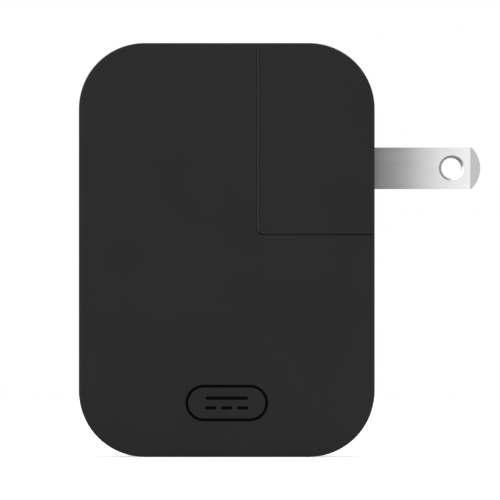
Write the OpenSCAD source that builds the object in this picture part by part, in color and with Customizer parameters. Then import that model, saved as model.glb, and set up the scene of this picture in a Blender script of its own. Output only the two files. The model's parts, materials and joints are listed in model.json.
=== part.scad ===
// Laptop power adapter with a slide-off plug head.
// Millimetres. +X points to the blades, +Y to the back, +Z to the top.
// The origin is the middle of the foot of the housing.

/* [Housing] */
// Width of the housing, side to side
housing_w = 45.45; // [45:0.05:54]
// Height of the housing, foot to top
housing_h = 63.6; // [63:0.1:72]
// Depth of the housing, front to back
housing_d = 28; // [28:0.2:34]
// Radius of the four corners, seen from the front
corner_r = 10.1; // [6:0.1:11]
// Radius of the rim round the front and back faces
rim_r = 0.6; // [0.3:0.1:1.2]
// Thickness of the walls
wall = 2; // [1.6:0.1:2.2]
// Depth of the parting seam behind the middle of the housing
seam_y = 5; // [3:0.5:6]
// Open line between the front and the back shell
seam_gap = 0.15; // [0.1:0.05:0.3]
// Height of the tongue that laps the two shells
tongue_h = 1.2; // [0.8:0.1:2]
// Thickness of the tongue
tongue_t = 0.9; // [0.7:0.1:1.1]

/* [Plug head] */
// Width of the plug head
head_w = 18.05; // [17.6:0.05:19]
// Height of the plug head
head_h = 29.4; // [28.5:0.1:31]
// Radius of the head's inner corner
head_corner_r = 0.9; // [0.5:0.1:2]
// Running gap between the head and the housing
head_gap = 0.05; // [0.05:0.05:0.3]
// Chamfer of the edges along the head's seam
seam_chamfer = 0.1; // [0.05:0.01:0.3]
// Height of the guides that stand on the recess's edges
guide_h = 0.5; // [0.3:0.05:0.6]
// Thickness of a guide
guide_t = 0.6; // [0.4:0.05:0.7]
// Depth from a face of the housing to the guide behind it
guide_in = 0.6; // [0.4:0.05:0.7]
// Thickness of the plate that closes the head
insert_t = 2.3; // [2:0.1:2.6]

/* [Blades] */
// Width of a blade
blade_w = 6.35; // [6:0.05:6.6]
// Thickness of a blade
blade_t = 1.52; // [1.4:0.02:1.65]
// Length of a blade outside the head
blade_out = 16.3; // [15.9:0.1:18.3]
// Spacing of the two blades
blade_pitch = 12.7; // [12.5:0.1:13]
// Drop from the top of the housing to the middle of the blades
blade_drop = 19.2; // [17:0.1:20]
// Diameter of the hole in a blade
blade_hole_d = 3.25; // [2.8:0.05:3.4]
// Distance of the hole from the face of the head
blade_hole_x = 11.9; // [11:0.1:12.5]
// Radius of the rounded blade tip
blade_tip_r = 4.4; // [3.6:0.1:6]
// Thickness of the blade at its very tip
blade_tip_t = 0.8; // [0.5:0.05:1.2]
// Length of the tapered end of a blade
blade_taper = 1.55; // [1:0.05:2.5]

/* [Inlet and nose] */
// Depth of the inlet
inlet_depth = 12.5; // [11.5:0.1:13.5]
// Radius of each lobe of the inlet
lobe_r = 3.9; // [3.7:0.05:4.1]
// Spacing of the two lobes
lobe_pitch = 7; // [6.6:0.1:7.2]
// Width of the waist between the lobes
waist_w = 5.6; // [5:0.1:6.4]
// Thickness of the inlet's walls
inlet_wall = 1.3; // [1:0.1:1.4]
// Diameter of an inlet pin
pin_d = 2.4; // [2.2:0.05:2.5]
// Spacing of the inlet pins
pin_pitch = 8.6; // [8.4:0.1:8.8]
// Gap between the nose and the inlet, all round
nose_gap = 0.25; // [0.15:0.05:0.4]
// Wall of the sprung sleeve round a pin
sleeve_t = 0.4; // [0.3:0.05:0.5]

/* [Lock stud] */
// Diameter of the stud's neck
stud_neck_d = 4; // [3.6:0.1:4.4]
// Diameter of the stud's head
stud_head_d = 7; // [6.4:0.1:7.4]
// Thickness of the stud's head
stud_head_t = 1.5; // [1.2:0.1:1.7]
// Drop from the top of the housing to the stud
stud_drop = 15.6; // [14.5:0.1:18]
// Running gap round the stud in its slot
stud_gap = 0.25; // [0.2:0.05:0.4]

/* [Port] */
// Width of the port's metal shell
port_w = 8.94; // [8.8:0.02:9.1]
// Thickness of the port's metal shell
port_t = 3.26; // [3.1:0.02:3.4]
// Depth of the port, front to back
port_depth = 7.3; // [6.8:0.1:8]
// Height of the port above the foot
port_z = 32; // [31.5:0.1:32.5]

/* [Boards] */
// Thickness of the main board
board_t = 1.6; // [1.2:0.1:1.6]
// Height of the bosses under the main board
boss_h = 1.4; // [1.2:0.1:2]
// Gap between a board and the walls
board_edge = 0.6; // [0.4:0.1:1]
// Thickness of the output board
output_board_t = 1.2; // [0.8:0.1:1.4]
// General fitting clearance
fit = 0.1; // [0.05:0.01:0.15]

/* [Components] */
// Diameter of the bulk capacitor
bulk_d = 14; // [12:0.5:16]
// Length of the bulk capacitor
bulk_l = 20; // [16:0.5:22]
// Diameter of an output capacitor
output_cap_d = 6.3; // [5:0.1:8]
// Height of an output capacitor
output_cap_h = 12; // [8:0.5:14]
// Length of the transformer core
core_l = 17.5; // [16:0.1:17.5]
// Width of the transformer core
core_w = 12; // [11:0.1:12.4]
// Height of the transformer core
core_h = 15; // [13:0.1:15]

/* [Hidden] */
$fn = 48;
// Enough to pass a cutter right through a wall
over = 1;

// Housing faces and the inside of its walls
half_w = housing_w / 2;
half_d = housing_d / 2;
inner_x = half_w - wall;
inner_y = half_d - wall;
inner_top = housing_h - wall;
recess_x = half_w - head_w - head_gap;
recess_z = housing_h - head_h - head_gap;
recess_wall_x = recess_x - wall;
recess_floor_z = recess_z - wall;

// Plug head
head_x = half_w - head_w;
head_z = housing_h - head_h;
blade_z = housing_h - blade_drop;
blade_y = blade_pitch / 2;
holder_t = 4.6;
holder_x = inner_x - holder_t;
tang_l = 3.9;
tang_w = 8;
blade_slot_fit = 0.08;
holder_wall = 1.6;
strap_t = 0.5;
strap_w = 3;
rivet_d = 2;
rivet_head_d = 3.2;
rivet_head_t = 0.6;

// Inlet, its pins and the nose that enters it
inlet_x = half_w - head_w / 2;
inlet_base_t = 2;
inlet_floor_z = recess_z - inlet_depth;
inlet_base_z = inlet_floor_z - inlet_base_t;
inlet_flange = 1.2;
inlet_flange_t = 1.5;
inlet_half_x = lobe_r + inlet_wall;
inlet_half_y = lobe_pitch / 2 + lobe_r + inlet_wall;
shelf_t = 1.5;
pin_y = pin_pitch / 2;
pin_below_rim = 1;
pin_tail = 1.5;
nose_l = inlet_depth - 0.35;
sleeve_gap = 0.1;
sleeve_in_r = pin_d / 2 + sleeve_gap;
sleeve_out_r = sleeve_in_r + sleeve_t;
sleeve_hole_r = sleeve_out_r + fit;
sleeve_proud = 0.8;
sleeve_collar = 0.7;

// Lock stud and its slot in the head
stud_z = housing_h - stud_drop;
stud_flange_d = 8;
stud_flange_t = 1.2;
stud_lip_gap = 0.35;
stud_head_x = head_x + insert_t + stud_lip_gap;
stud_end_x = stud_head_x + stud_head_t;
spring_t = 0.3;
spring_bow = 0.25;
spring_w = 4;
channel_x = stud_end_x + 0.5;
channel_half = stud_head_d / 2 + stud_gap;
channel_wall = 1.2;

// Boards
board_y = inner_y - boss_h - board_t;
board_foot_z = inlet_base_z - 0.8;
peg_r = 0.8;
peg_proud = 0.6;
boss_r = 2;
PEGS = [[-half_w + 4.05, port_z - 10.2], [-half_w + 4.05, inner_top - 15.6],
        [half_w - 5.05, wall + 4.4], [recess_wall_x + 0.1, 21]];
output_board_y = port_t / 2;
output_board_x = -inner_x + 0.3;
output_board_w = 6.6;
output_board_low = 8.4;
output_board_high = 5;
header_w = 2.2;
header_l = 6;
header_step = 2.7;
header_slot = 1.4;

// Sheets behind the front shell
spreader_t = 0.5;
sheet_t = 0.3;
sheet_y = -inner_y + spreader_t + sheet_t;
pad_t = 1.7;

// Layout of the parts on the main board
lift = 0.3;
bulk_x = -half_w + 5.4;
bulk_z = wall + 2.3 + bulk_d / 2;
bulk_pitch = 7.5;
part_gap = 0.4;
x_cap_w = 10;
x_cap_t = 4.4;
x_cap_h = 11;
x_cap_x = inner_x - 3.1 - x_cap_w;
x_cap_z = inlet_base_z - pin_tail - 0.9 - x_cap_t;
choke_r = 4.8;
choke_bore_r = 2.4;
choke_t = 2.8;
choke_wire = 0.7;
choke_x = half_w - 9.65;
choke_z = x_cap_z - part_gap - choke_wire - choke_t / 2;
choke_y = board_y - lift - choke_r - choke_wire;
thermistor_r = 3;
thermistor_t = 3.2;
thermistor_x = half_w - 9.15;
thermistor_top = choke_z - choke_t / 2 - choke_wire - part_gap;
fuse_r = 1.7;
fuse_h = 8;
fuse_x = half_w - 14.4;
fuse_z = thermistor_top - thermistor_t / 2;
transformer_x = -half_w + 15;
transformer_z = inner_top - 2 - core_l / 2;
core_y = board_y - 1.4;
core_plate = 3;
core_gap = 0.1;
core_leg = 2.8;
core_post_r = 3.4;
coil_h = core_h - 2 * core_plate;
bobbin_wall = 0.8;
bobbin_r = core_l / 2 - core_leg - fit;
terminal_step = 3.5;
terminal_t = 0.6;
terminal_over = 2.4;
rail_w = 2.7;
rail_l = 14;
rail_x = 8.75;
output_cap_x = transformer_x - 0.35;
output_cap_step = output_cap_d + 0.6;
output_cap_low = bulk_z + bulk_d / 2 + 1.4 + output_cap_d / 2;
y_cap_r = 3.5;
y_cap_t = 2.2;
y_cap_z = transformer_z - core_l / 2 - part_gap - y_cap_t;
coupler_l = 4.6;
chip_w = 3.4;
sink_x = recess_wall_x - 5.5;
sink_t = 1.4;
sink_low = port_z - 9.5;
sink_high = port_z + 3;
sink_top_y = sheet_y + pad_t;
transistor_w = 10;
transistor_t = 3.8;
transistor_z = port_z - 8;
tab_t = 1.3;
tab_l = 6.2;
body_l = 8;
sink_top_l = 8;
bridge_x = recess_wall_x + 0.7;
bridge_t = 3.6;
bridge_w = 9.2;
bridge_h = 10;
bridge_lift = 3.5;
bridge_step = 2.33;
bridge_z = recess_floor_z - 10.3;
wire_r = 0.7;

// An outline in X and Z, filled between two depths
module span_y(y0, y1) {
    translate([0, y1, 0]) rotate([90, 0, 0]) linear_extrude(y1 - y0) children();
}

// An outline in Y and Z, filled between two places along X
module span_x(x0, x1) {
    translate([x0, 0, 0]) rotate([90, 0, 90]) linear_extrude(x1 - x0) children();
}

// An outline in X and Y, filled between two heights
module span_z(z0, z1) {
    translate([0, 0, z0]) linear_extrude(z1 - z0) children();
}

// A block from its lowest corner to its highest
module block(low, high) {
    translate(low) cube(high - low);
}

// A rectangle with round corners, from its lowest corner to its highest
module round_rect(low, high, r) {
    translate([low[0] + r, low[1]]) square([high[0] - low[0] - 2 * r, high[1] - low[1]]);
    translate([low[0], low[1] + r]) square([high[0] - low[0], high[1] - low[1] - 2 * r]);
    for (x = [low[0] + r, high[0] - r], y = [low[1] + r, high[1] - r]) {
        translate([x, y]) circle(r);
    }
}

// The front outline of the housing, drawn in by a distance
module outline(inset) {
    round_rect([-half_w + inset, inset], [half_w - inset, housing_h - inset], corner_r - inset);
}

// Everything right of x0 and above z0, with a round inner corner
module corner_outline(x0, z0, r) {
    translate([x0 + r, z0]) square(housing_h);
    translate([x0, z0 + r]) square(housing_h);
    translate([x0 + r, z0 + r]) circle(r);
}

// Steps of the seam through the depth: at each depth, how far the corner grows. Both edges
// flare at the faces, and a guide stands behind each face
function seam_steps(flare, guide, play) = let (
    c = seam_chamfer, a = half_d - guide_in + play, b = half_d - guide_in - guide_t - play
) [
    [-half_d - c, 2 * c * flare], [c - half_d, 0], [-a, 0], [-a, -guide], [-b, -guide], [-b, 0],
    [b, 0], [b, -guide], [a, -guide], [a, 0], [half_d - c, 0], [half_d + c, 2 * c * flare]
];

// The same corner as a solid, grown step by step through the depth
module corner_steps(x0, z0, r, steps) {
    y0 = steps[0][0];
    y1 = steps[len(steps) - 1][0];
    span_x(x0 + r, x0 + housing_h) polygon(concat(
        [for (s = steps) [s[0], z0 - s[1]]], [[y1, z0 + housing_h], [y0, z0 + housing_h]]));
    span_z(z0 + r, z0 + housing_h) polygon(concat(
        [for (s = steps) [x0 - s[1], s[0]]], [[x0 + housing_h, y1], [x0 + housing_h, y0]]));
    translate([x0 + r, 0, z0 + r]) rotate([-90, 0, 0]) rotate_extrude() polygon(concat(
        [[0, y0]], [for (s = steps) [r + s[1], s[0]]], [[0, y1]]));
}

// The housing's outline without the corner that the plug head fills
module l_outline(inset) {
    difference() {
        outline(inset);
        corner_outline(recess_x - inset, recess_z - inset, head_corner_r + inset);
    }
}

// Half the section through the depth of the housing, with its rounded rim
module rim_section() {
    translate([0, -half_d + rim_r]) square([corner_r, 2 * (half_d - rim_r)]);
    translate([0, -half_d]) square([corner_r - rim_r, 2 * half_d]);
    for (s = [-1, 1]) {
        translate([corner_r - rim_r, s * (half_d - rim_r)]) circle(rim_r);
    }
}

// The whole outer form, head and housing together
module slab() {
    cx = half_w - corner_r;
    cz = housing_h / 2 - corner_r;
    translate([0, 0, housing_h / 2]) rotate([90, 0, 0]) {
        for (sx = [0, 1], sz = [0, 1]) mirror([sx, 0, 0]) mirror([0, sz, 0]) {
            translate([cx, cz, 0]) rotate_extrude(angle = 90) rim_section();
        }
        for (sx = [0, 1]) mirror([sx, 0, 0]) {
            translate([cx, cz, 0]) rotate([90, 0, 0]) linear_extrude(2 * cz) rim_section();
        }
        for (sz = [0, 1]) mirror([0, sz, 0]) {
            translate([-cx, cz, 0]) rotate([90, 0, 90]) linear_extrude(2 * cx) rim_section();
        }
        translate([-cx, -cz, -half_d]) cube([2 * cx, 2 * cz, 2 * half_d]);
    }
}

// The two lobes and the waist of the inlet, drawn in by a distance
module figure_eight(inset) {
    translate([inlet_x, 0]) {
        for (s = [-1, 1]) translate([0, s * lobe_pitch / 2]) circle(lobe_r - inset);
        translate([-waist_w / 2 + inset, -lobe_pitch / 2]) square([waist_w - 2 * inset, lobe_pitch]);
    }
}

// The long round slot of the port, in Y and Z, grown by a distance
module port_outline(grow) {
    r = port_t / 2 + grow;
    run = port_w / 2 - port_t / 2;
    translate([-r, port_z - run]) square([2 * r, 2 * run]);
    for (s = [-1, 1]) translate([0, port_z + s * run]) circle(r);
}

// A round rod between two points
module rod(a, b, r) {
    d = b - a;
    l = norm(d);
    translate(a) rotate([0, acos(d[2] / l), atan2(d[1], d[0])]) cylinder(r = r, h = l);
}

// A wire with a ball at each bend
module wire(points, r) {
    for (i = [1 : len(points) - 1]) rod(points[i - 1], points[i], r);
    for (i = [1 : len(points) - 2]) translate(points[i]) sphere(r * 1.1);
}

// A lead that stands on the main board and ends at depth y
module leg(x, z, y, r) {
    rod([x, y, z], [x, board_y, z], r);
}

// ---- Housing ----

// The corner cut out of the housing for the plug head, short of the two guides
module recess_cut() {
    corner_steps(recess_x, recess_z, head_corner_r, seam_steps(1, guide_h, 0));
}

// One half of the hollow housing: side is -1 for the front and 1 for the back
module half_shell(side) {
    difference() {
        slab();
        recess_cut();
        span_y(-inner_y, inner_y) l_outline(wall);
        translate([0, seam_y, 0]) mirror([0, side > 0 ? 0 : 1, 0]) {
            block([-half_w - over, -housing_d, -over], [half_w + over, seam_gap / 2, housing_h + over]);
        }
    }
}

// The strip along the inner side of the wall, where the shells lap
module lap_ring(t) {
    difference() {
        l_outline(wall - t);
        l_outline(wall);
    }
}

// The shelf that holds the inlet block's flange up against the recess floor
module inlet_shelf(side) {
    top = recess_floor_z - inlet_flange_t - fit;
    mirror([0, side > 0 ? 0 : 1, 0]) {
        block([inlet_x - inlet_half_x, inlet_half_y + fit, top - shelf_t],
            [inlet_x + inlet_half_x, inner_y + wall / 2, top]);
    }
}

// Openings that both shells share: the inlet, the stud and the port
module shell_openings() {
    span_z(recess_floor_z - over, recess_z + over) {
        round_rect([inlet_x - inlet_half_x - fit, -inlet_half_y - fit],
            [inlet_x + inlet_half_x + fit, inlet_half_y + fit], 1);
    }
    rod([recess_wall_x - over, 0, stud_z], [recess_x + over, 0, stud_z], stud_neck_d / 2 + fit);
    span_x(-half_w - over, -inner_x + over) port_outline(fit);
}

module front_shell() {
    color("#2c2c2c") difference() {
        union() {
            difference() {
                half_shell(-1);
                span_y(seam_y - tongue_h - fit, seam_y + over) lap_ring(tongue_t + fit);
            }
            inlet_shelf(-1);
        }
        shell_openings();
    }
}

module back_shell() {
    color("#2c2c2c") difference() {
        union() {
            half_shell(1);
            span_y(seam_y - tongue_h, seam_y + over) lap_ring(tongue_t);
            inlet_shelf(1);
            for (p = PEGS) {
                span_y(board_y + board_t, inner_y + wall / 2) translate(p) circle(boss_r);
                span_y(board_y - peg_proud, inner_y) translate(p) circle(peg_r);
            }
        }
        shell_openings();
    }
}

// ---- Inlet ----

module inlet_block() {
    color("#1f1f1f") difference() {
        union() {
            span_z(inlet_base_z, recess_z) {
                round_rect([inlet_x - inlet_half_x, -inlet_half_y],
                    [inlet_x + inlet_half_x, inlet_half_y], 1);
            }
            span_z(recess_floor_z - inlet_flange_t, recess_floor_z) {
                round_rect([inlet_x - inlet_half_x, -inlet_half_y - inlet_flange],
                    [inlet_x + inlet_half_x, inlet_half_y + inlet_flange], 1);
            }
        }
        span_z(inlet_floor_z, recess_z + over) figure_eight(0);
        for (s = [-1, 1]) {
            span_z(inlet_base_z - over, inlet_floor_z + over) {
                translate([inlet_x, s * pin_y]) circle(pin_d / 2 + fit);
            }
        }
    }
}

// A pin with a round tip, a shoulder under the block and a tail for its lead
module inlet_pin(side) {
    tip = recess_z - pin_below_rim;
    color("#c9ccd0") translate([inlet_x, side * pin_y, 0]) rotate_extrude() {
        intersection() {
            union() {
                translate([0, inlet_base_z - pin_tail]) square([pin_d / 2, tip - pin_d / 2
                    - inlet_base_z + pin_tail]);
                translate([0, tip - pin_d / 2]) circle(pin_d / 2);
                translate([0, inlet_base_z - 0.5]) square([pin_d / 2 + 0.6, 0.5]);
            }
            translate([0, inlet_base_z - pin_tail]) square([pin_d, inlet_depth * 2]);
        }
    }
}

module inlet_pin_line() inlet_pin(-1);

module inlet_pin_neutral() inlet_pin(1);

// The turned stud that the plug head hooks on to
module lock_stud() {
    r = stud_neck_d / 2;
    edge = 0.4;
    color("#b9bcc0") translate([0, 0, stud_z]) rotate([0, 90, 0]) rotate_extrude() {
        polygon([
            [0, recess_wall_x - stud_flange_t], [stud_flange_d / 2, recess_wall_x - stud_flange_t],
            [stud_flange_d / 2, recess_wall_x], [r, recess_wall_x], [r, stud_head_x],
            [stud_head_d / 2, stud_head_x], [stud_head_d / 2, stud_end_x - edge],
            [stud_head_d / 2 - edge, stud_end_x], [0, stud_end_x]
        ]);
    }
}

// ---- Boards and port ----

// The outline of a board or sheet, short of the recess and of the inlet block
module board_outline(edge) {
    difference() {
        outline(wall + edge);
        corner_outline(recess_wall_x - edge, recess_floor_z - edge, head_corner_r);
        corner_outline(inlet_x - inlet_half_x - edge, board_foot_z, head_corner_r);
    }
}

module main_board() {
    color("#2f6b3a") span_y(board_y, board_y + board_t) difference() {
        board_outline(board_edge);
        for (p = PEGS) translate(p) circle(peg_r + fit);
    }
}

module output_board() {
    color("#2f6b3a") block([output_board_x, output_board_y, port_z - output_board_low],
        [output_board_x + output_board_w, output_board_y + output_board_t, port_z + output_board_high]);
}

// The pin header that carries the output board on the main board
module board_header() {
    x = output_board_x + output_board_w - header_w - 0.2;
    low = port_z - output_board_low + 1;
    color("#1c1c1c") difference() {
        block([x, output_board_y + output_board_t, low], [x + header_w, board_y, low + header_l]);
        for (s = [-1, 1]) {
            z = low + header_l / 2 + s * header_step / 2;
            block([x - over, output_board_y + output_board_t + 1.5, z - header_slot / 2],
                [x + header_w + over, board_y - 1.5, z + header_slot / 2]);
        }
    }
}

port_x = -half_w + 0.3;
port_sheet = 0.3;
port_back_t = 1.6;

module usb_c_shell() {
    color("#c4c7cb") difference() {
        span_x(port_x, port_x + port_depth) port_outline(0);
        span_x(port_x - over, port_x + port_depth + over) port_outline(-port_sheet);
    }
}

tongue_blade_w = 6.69;
tongue_blade_t = 0.7;
tongue_blade_l = 4.45;

module usb_c_tongue() {
    back = port_x + port_depth - port_back_t;
    color("#161616") {
        span_x(back, port_x + port_depth) port_outline(-port_sheet);
        block([back - tongue_blade_l, -tongue_blade_t / 2, port_z - tongue_blade_w / 2],
            [back + port_back_t / 2, tongue_blade_t / 2, port_z + tongue_blade_w / 2]);
    }
}

module usb_c_contacts() {
    back = port_x + port_depth - port_back_t;
    pitch = 0.5;
    count = 12;
    color("#d6b25e") for (m = [0, 1]) mirror([0, m, 0]) for (i = [0 : count - 1]) {
        z = port_z + (i - (count - 1) / 2) * pitch;
        block([back - tongue_blade_l + 0.6, tongue_blade_t / 2, z - 0.125],
            [back, tongue_blade_t / 2 + 0.08, z + 0.125]);
    }
}

// ---- Transformer ----

// The lower half of the core, from its plate up to the middle
module core_half() {
    low = core_y - core_h / 2 + core_gap / 2;
    block([transformer_x - core_w / 2, core_y - core_plate, transformer_z - core_l / 2],
        [transformer_x + core_w / 2, core_y, transformer_z + core_l / 2]);
    for (z = [transformer_z - core_l / 2, transformer_z + core_l / 2 - core_leg]) {
        block([transformer_x - core_w / 2, low, z], [transformer_x + core_w / 2, core_y - over, z + core_leg]);
    }
    rod([transformer_x, low, transformer_z], [transformer_x, core_y - over, transformer_z], core_post_r);
}

module transformer_core() {
    color("#3d3f42") {
        core_half();
        translate([0, 2 * core_y - core_h, 0]) mirror([0, 1, 0]) core_half();
    }
}

module transformer_bobbin() {
    top = core_y - core_plate;
    bottom = top - coil_h;
    flange = 0.8;
    color("#d8c9a0") difference() {
        union() {
            rod([transformer_x, bottom, transformer_z], [transformer_x, top, transformer_z],
                core_post_r + fit + bobbin_wall);
            for (y = [bottom, top - flange]) {
                rod([transformer_x, y, transformer_z], [transformer_x, y + flange, transformer_z],
                    bobbin_r);
            }
            for (s = [-1, 1]) {
                block([transformer_x + s * (rail_x - rail_w / 2) - rail_w / 2, top - flange,
                    transformer_z - rail_l / 2],
                    [transformer_x + s * (rail_x - rail_w / 2) + rail_w / 2, board_y,
                    transformer_z + rail_l / 2]);
                block([transformer_x + s * rail_x / 2 - rail_x / 2, top - flange, transformer_z - 2.5],
                    [transformer_x + s * rail_x / 2 + rail_x / 2, top, transformer_z + 2.5]);
            }
        }
        rod([transformer_x, bottom - over, transformer_z], [transformer_x, top + over, transformer_z],
            core_post_r + fit);
    }
}

module transformer_winding() {
    top = core_y - core_plate - 0.8 - fit;
    bottom = core_y - core_plate - coil_h + 0.8 + fit;
    color("#c8a13a") difference() {
        rod([transformer_x, bottom, transformer_z], [transformer_x, top, transformer_z], bobbin_r - 0.3);
        rod([transformer_x, bottom - over, transformer_z], [transformer_x, top + over, transformer_z],
            core_post_r + 2 * fit + bobbin_wall);
    }
}

// Terminal pins that stand out of the bobbin's rails
module transformer_pins() {
    color("#c9ccd0") for (s = [-1, 1], i = [0 : 3]) {
        x = transformer_x + s * rail_x;
        z = transformer_z + (i - 1.5) * terminal_step;
        block([s > 0 ? x : x - terminal_t, core_y - terminal_over, z - terminal_t / 2],
            [s > 0 ? x + terminal_t : x, board_y, z + terminal_t / 2]);
    }
}

// ---- Capacitors ----

module bulk_capacitor() {
    r = bulk_d / 2;
    groove = 0.4;
    y = board_y - lift - r;
    color("#20242c") {
        translate([bulk_x, y, bulk_z]) rotate([0, 90, 0]) rotate_extrude() polygon([
            [0, 0], [r - 0.6, 0], [r, 0.6], [r, bulk_l - 3.6], [r - groove, bulk_l - 3],
            [r - groove, bulk_l - 2.2], [r, bulk_l - 1.6], [r, bulk_l - 0.4], [r - 0.4, bulk_l],
            [r - 1.2, bulk_l], [r - 1.2, bulk_l - 0.5], [0, bulk_l - 0.5]
        ]);
        for (s = [-1, 1]) {
            z = bulk_z + s * bulk_pitch / 2;
            end = bulk_x + bulk_l;
            wire([[end - 1, y, z], [end + 0.7, y, z], [end + 0.7, board_y, z]], 0.4);
        }
    }
}

module output_capacitors() {
    r = output_cap_d / 2;
    color("#2b2f3a") for (i = [0, 1]) {
        translate([output_cap_x, board_y, output_cap_low + i * output_cap_step]) rotate([90, 0, 0]) {
            rotate_extrude() polygon([
                [0, 0], [r - 0.3, 0], [r, 0.3], [r, 1], [r - 0.3, 1.5], [r - 0.3, 2], [r, 2.5],
                [r, output_cap_h - 0.4], [r - 0.4, output_cap_h], [0, output_cap_h]
            ]);
        }
    }
}

module x_capacitor() {
    color("#c9a227") span_y(board_y - x_cap_h, board_y) {
        round_rect([x_cap_x, x_cap_z], [x_cap_x + x_cap_w, x_cap_z + x_cap_t], 0.5);
    }
}

module y_capacitor() {
    y = board_y - 0.8 - y_cap_r;
    z = y_cap_z + y_cap_t / 2;
    color("#2f6fae") {
        rod([output_cap_x, y, y_cap_z], [output_cap_x, y, y_cap_z + y_cap_t], y_cap_r);
        for (s = [-1, 1]) leg(output_cap_x + s * 2.2, z, y, 0.3);
    }
}

// ---- Line filter ----

module choke_core() {
    color("#4a6b3c") translate([choke_x, choke_y, choke_z - choke_t / 2]) difference() {
        cylinder(r = choke_r, h = choke_t);
        translate([0, 0, -over]) cylinder(r = choke_bore_r, h = choke_t + 2 * over);
    }
}

// Two coils wound on opposite sides of the ring
module choke_winding() {
    low = choke_z - choke_t / 2 - choke_wire;
    high = choke_z + choke_t / 2 + choke_wire;
    sweep = 130;
    color("#b4632c") for (start = [-sweep / 2, 180 - sweep / 2]) {
        translate([choke_x, choke_y, 0]) rotate([0, 0, start]) rotate_extrude(angle = sweep) {
            difference() {
                translate([choke_bore_r - choke_wire, low]) {
                    square([choke_r - choke_bore_r + 2 * choke_wire, high - low]);
                }
                translate([choke_bore_r, choke_z - choke_t / 2]) {
                    square([choke_r - choke_bore_r, choke_t]);
                }
            }
        }
    }
}

module fuse() {
    color("#7a4b2b") {
        rod([fuse_x, board_y - fuse_h, fuse_z], [fuse_x, board_y - 0.5, fuse_z], fuse_r);
        for (s = [-1, 1]) leg(fuse_x, fuse_z + s * 0.9, board_y - 1, 0.3);
    }
}

module thermistor() {
    y = board_y - 0.8 - thermistor_r;
    color("#3c7a4a") {
        rod([thermistor_x, y, thermistor_top - thermistor_t], [thermistor_x, y, thermistor_top],
            thermistor_r);
        for (s = [-1, 1]) leg(thermistor_x + s * 1.8, thermistor_top - thermistor_t / 2, y, 0.35);
    }
}

// ---- Power stage ----

module bridge_rectifier() {
    y = board_y - bridge_lift;
    color("#202020") {
        span_x(bridge_x, bridge_x + bridge_t) polygon([
            [y, bridge_z], [y, bridge_z + bridge_w], [y - bridge_h, bridge_z + bridge_w],
            [y - bridge_h, bridge_z + 1.5], [y - bridge_h + 1.5, bridge_z]
        ]);
        for (i = [-1.5 : 1.5]) {
            leg(bridge_x + bridge_t / 2, bridge_z + bridge_w / 2 + i * bridge_step, y - 0.5, 0.4);
        }
    }
}

tab_x = sink_x + sink_t;
tab_hole_y = sink_top_y + sink_t + fit + tab_l / 2;

module power_transistor() {
    low = sink_top_y + sink_t + fit;
    color("#1e1e1e") {
        difference() {
            block([tab_x, low, transistor_z], [tab_x + tab_t, low + tab_l + 1, transistor_z + transistor_w]);
            rod([tab_x - over, tab_hole_y, transistor_z + transistor_w / 2],
                [tab_x + tab_t + over, tab_hole_y, transistor_z + transistor_w / 2], 1.6);
        }
        block([tab_x, low + tab_l, transistor_z],
            [tab_x + transistor_t, low + tab_l + body_l, transistor_z + transistor_w]);
        for (i = [-1 : 1]) {
            z = transistor_z + transistor_w / 2 + i * 2.54;
            block([tab_x + 2, low + tab_l + body_l - over, z - 0.35], [tab_x + 2.5, board_y, z + 0.35]);
        }
    }
}

// A bent aluminium plate: its foot holds the transistor, its top lies under the pad
module heat_sink() {
    color("#a9adb2") difference() {
        union() {
            block([sink_x, sink_top_y, sink_low], [sink_x + sink_t, board_y - lift, sink_high]);
            block([sink_x - sink_top_l, sink_top_y, sink_low], [sink_x + sink_t, sink_top_y + sink_t, sink_high]);
        }
        rod([sink_x - over, tab_hole_y, transistor_z + transistor_w / 2],
            [sink_x + sink_t + over, tab_hole_y, transistor_z + transistor_w / 2], 1.6);
    }
}

module heat_sink_screw() {
    z = transistor_z + transistor_w / 2;
    color("#8f9398") difference() {
        union() {
            rod([sink_x - 2, tab_hole_y, z], [tab_x + tab_t + 0.5, tab_hole_y, z], 1.5);
            rod([tab_x + tab_t, tab_hole_y, z], [tab_x + tab_t + 1.8, tab_hole_y, z], 2.7);
        }
        for (a = [0, 90]) {
            translate([tab_x + tab_t + 1.8, tab_hole_y, z]) rotate([a, 0, 0]) {
                cube([2, 0.7, 3.2], center = true);
            }
        }
    }
}

module optocoupler() {
    x = output_cap_x - y_cap_r - 5.2;
    z = y_cap_z + y_cap_t - coupler_l;
    color("#e6e3da") {
        block([x, board_y - 3.5, z], [x + 4.2, board_y - 0.5, z + coupler_l]);
        for (s = [-0.3, 4], i = [0, 1]) {
            block([x + s, board_y - 2, z + 0.8 + i * 2.54], [x + s + 0.5, board_y, z + 1.3 + i * 2.54]);
        }
    }
}

module controller_chips() {
    x = output_board_x + 0.4;
    low = port_z - output_board_low + 0.2;
    color("#191919") {
        block([x, board_y - 1.5, low], [x + chip_w, board_y, low + 5]);
        block([x, output_board_y - 0.9, low], [x + chip_w, output_board_y, low + 3]);
    }
}

// ---- Sheets and pad ----

module heat_spreader() {
    color("#b5763a") span_y(-inner_y, -inner_y + spreader_t) board_outline(board_edge + 0.4);
}

module insulation_sheet() {
    color("#e8e2cf") span_y(-inner_y + spreader_t, sheet_y) board_outline(board_edge);
}

module thermal_pad() {
    color("#9fb7d6") block([sink_x - 7.5, sheet_y, sink_low + 0.5],
        [sink_x + sink_t - 0.2, sheet_y + pad_t, sink_high - 0.5]);
}

// ---- Mains leads ----

// A lead from the tail of an inlet pin to the main board
module lead(side, z_board, shade) {
    y = side * pin_y;
    z = inlet_base_z - wire_r - 0.2;
    x = inner_x - 1.8;
    color(shade) wire([[inlet_x + pin_d / 2 + 0.65, y, z], [x, y, z], [x, y, z_board],
        [x, board_y, z_board]], wire_r);
}

module lead_line() lead(-1, x_cap_z + 1, "#6b3f24");

module lead_neutral() lead(1, x_cap_z + 3.6, "#2b5c9e");

// ---- Plug head ----

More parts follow.
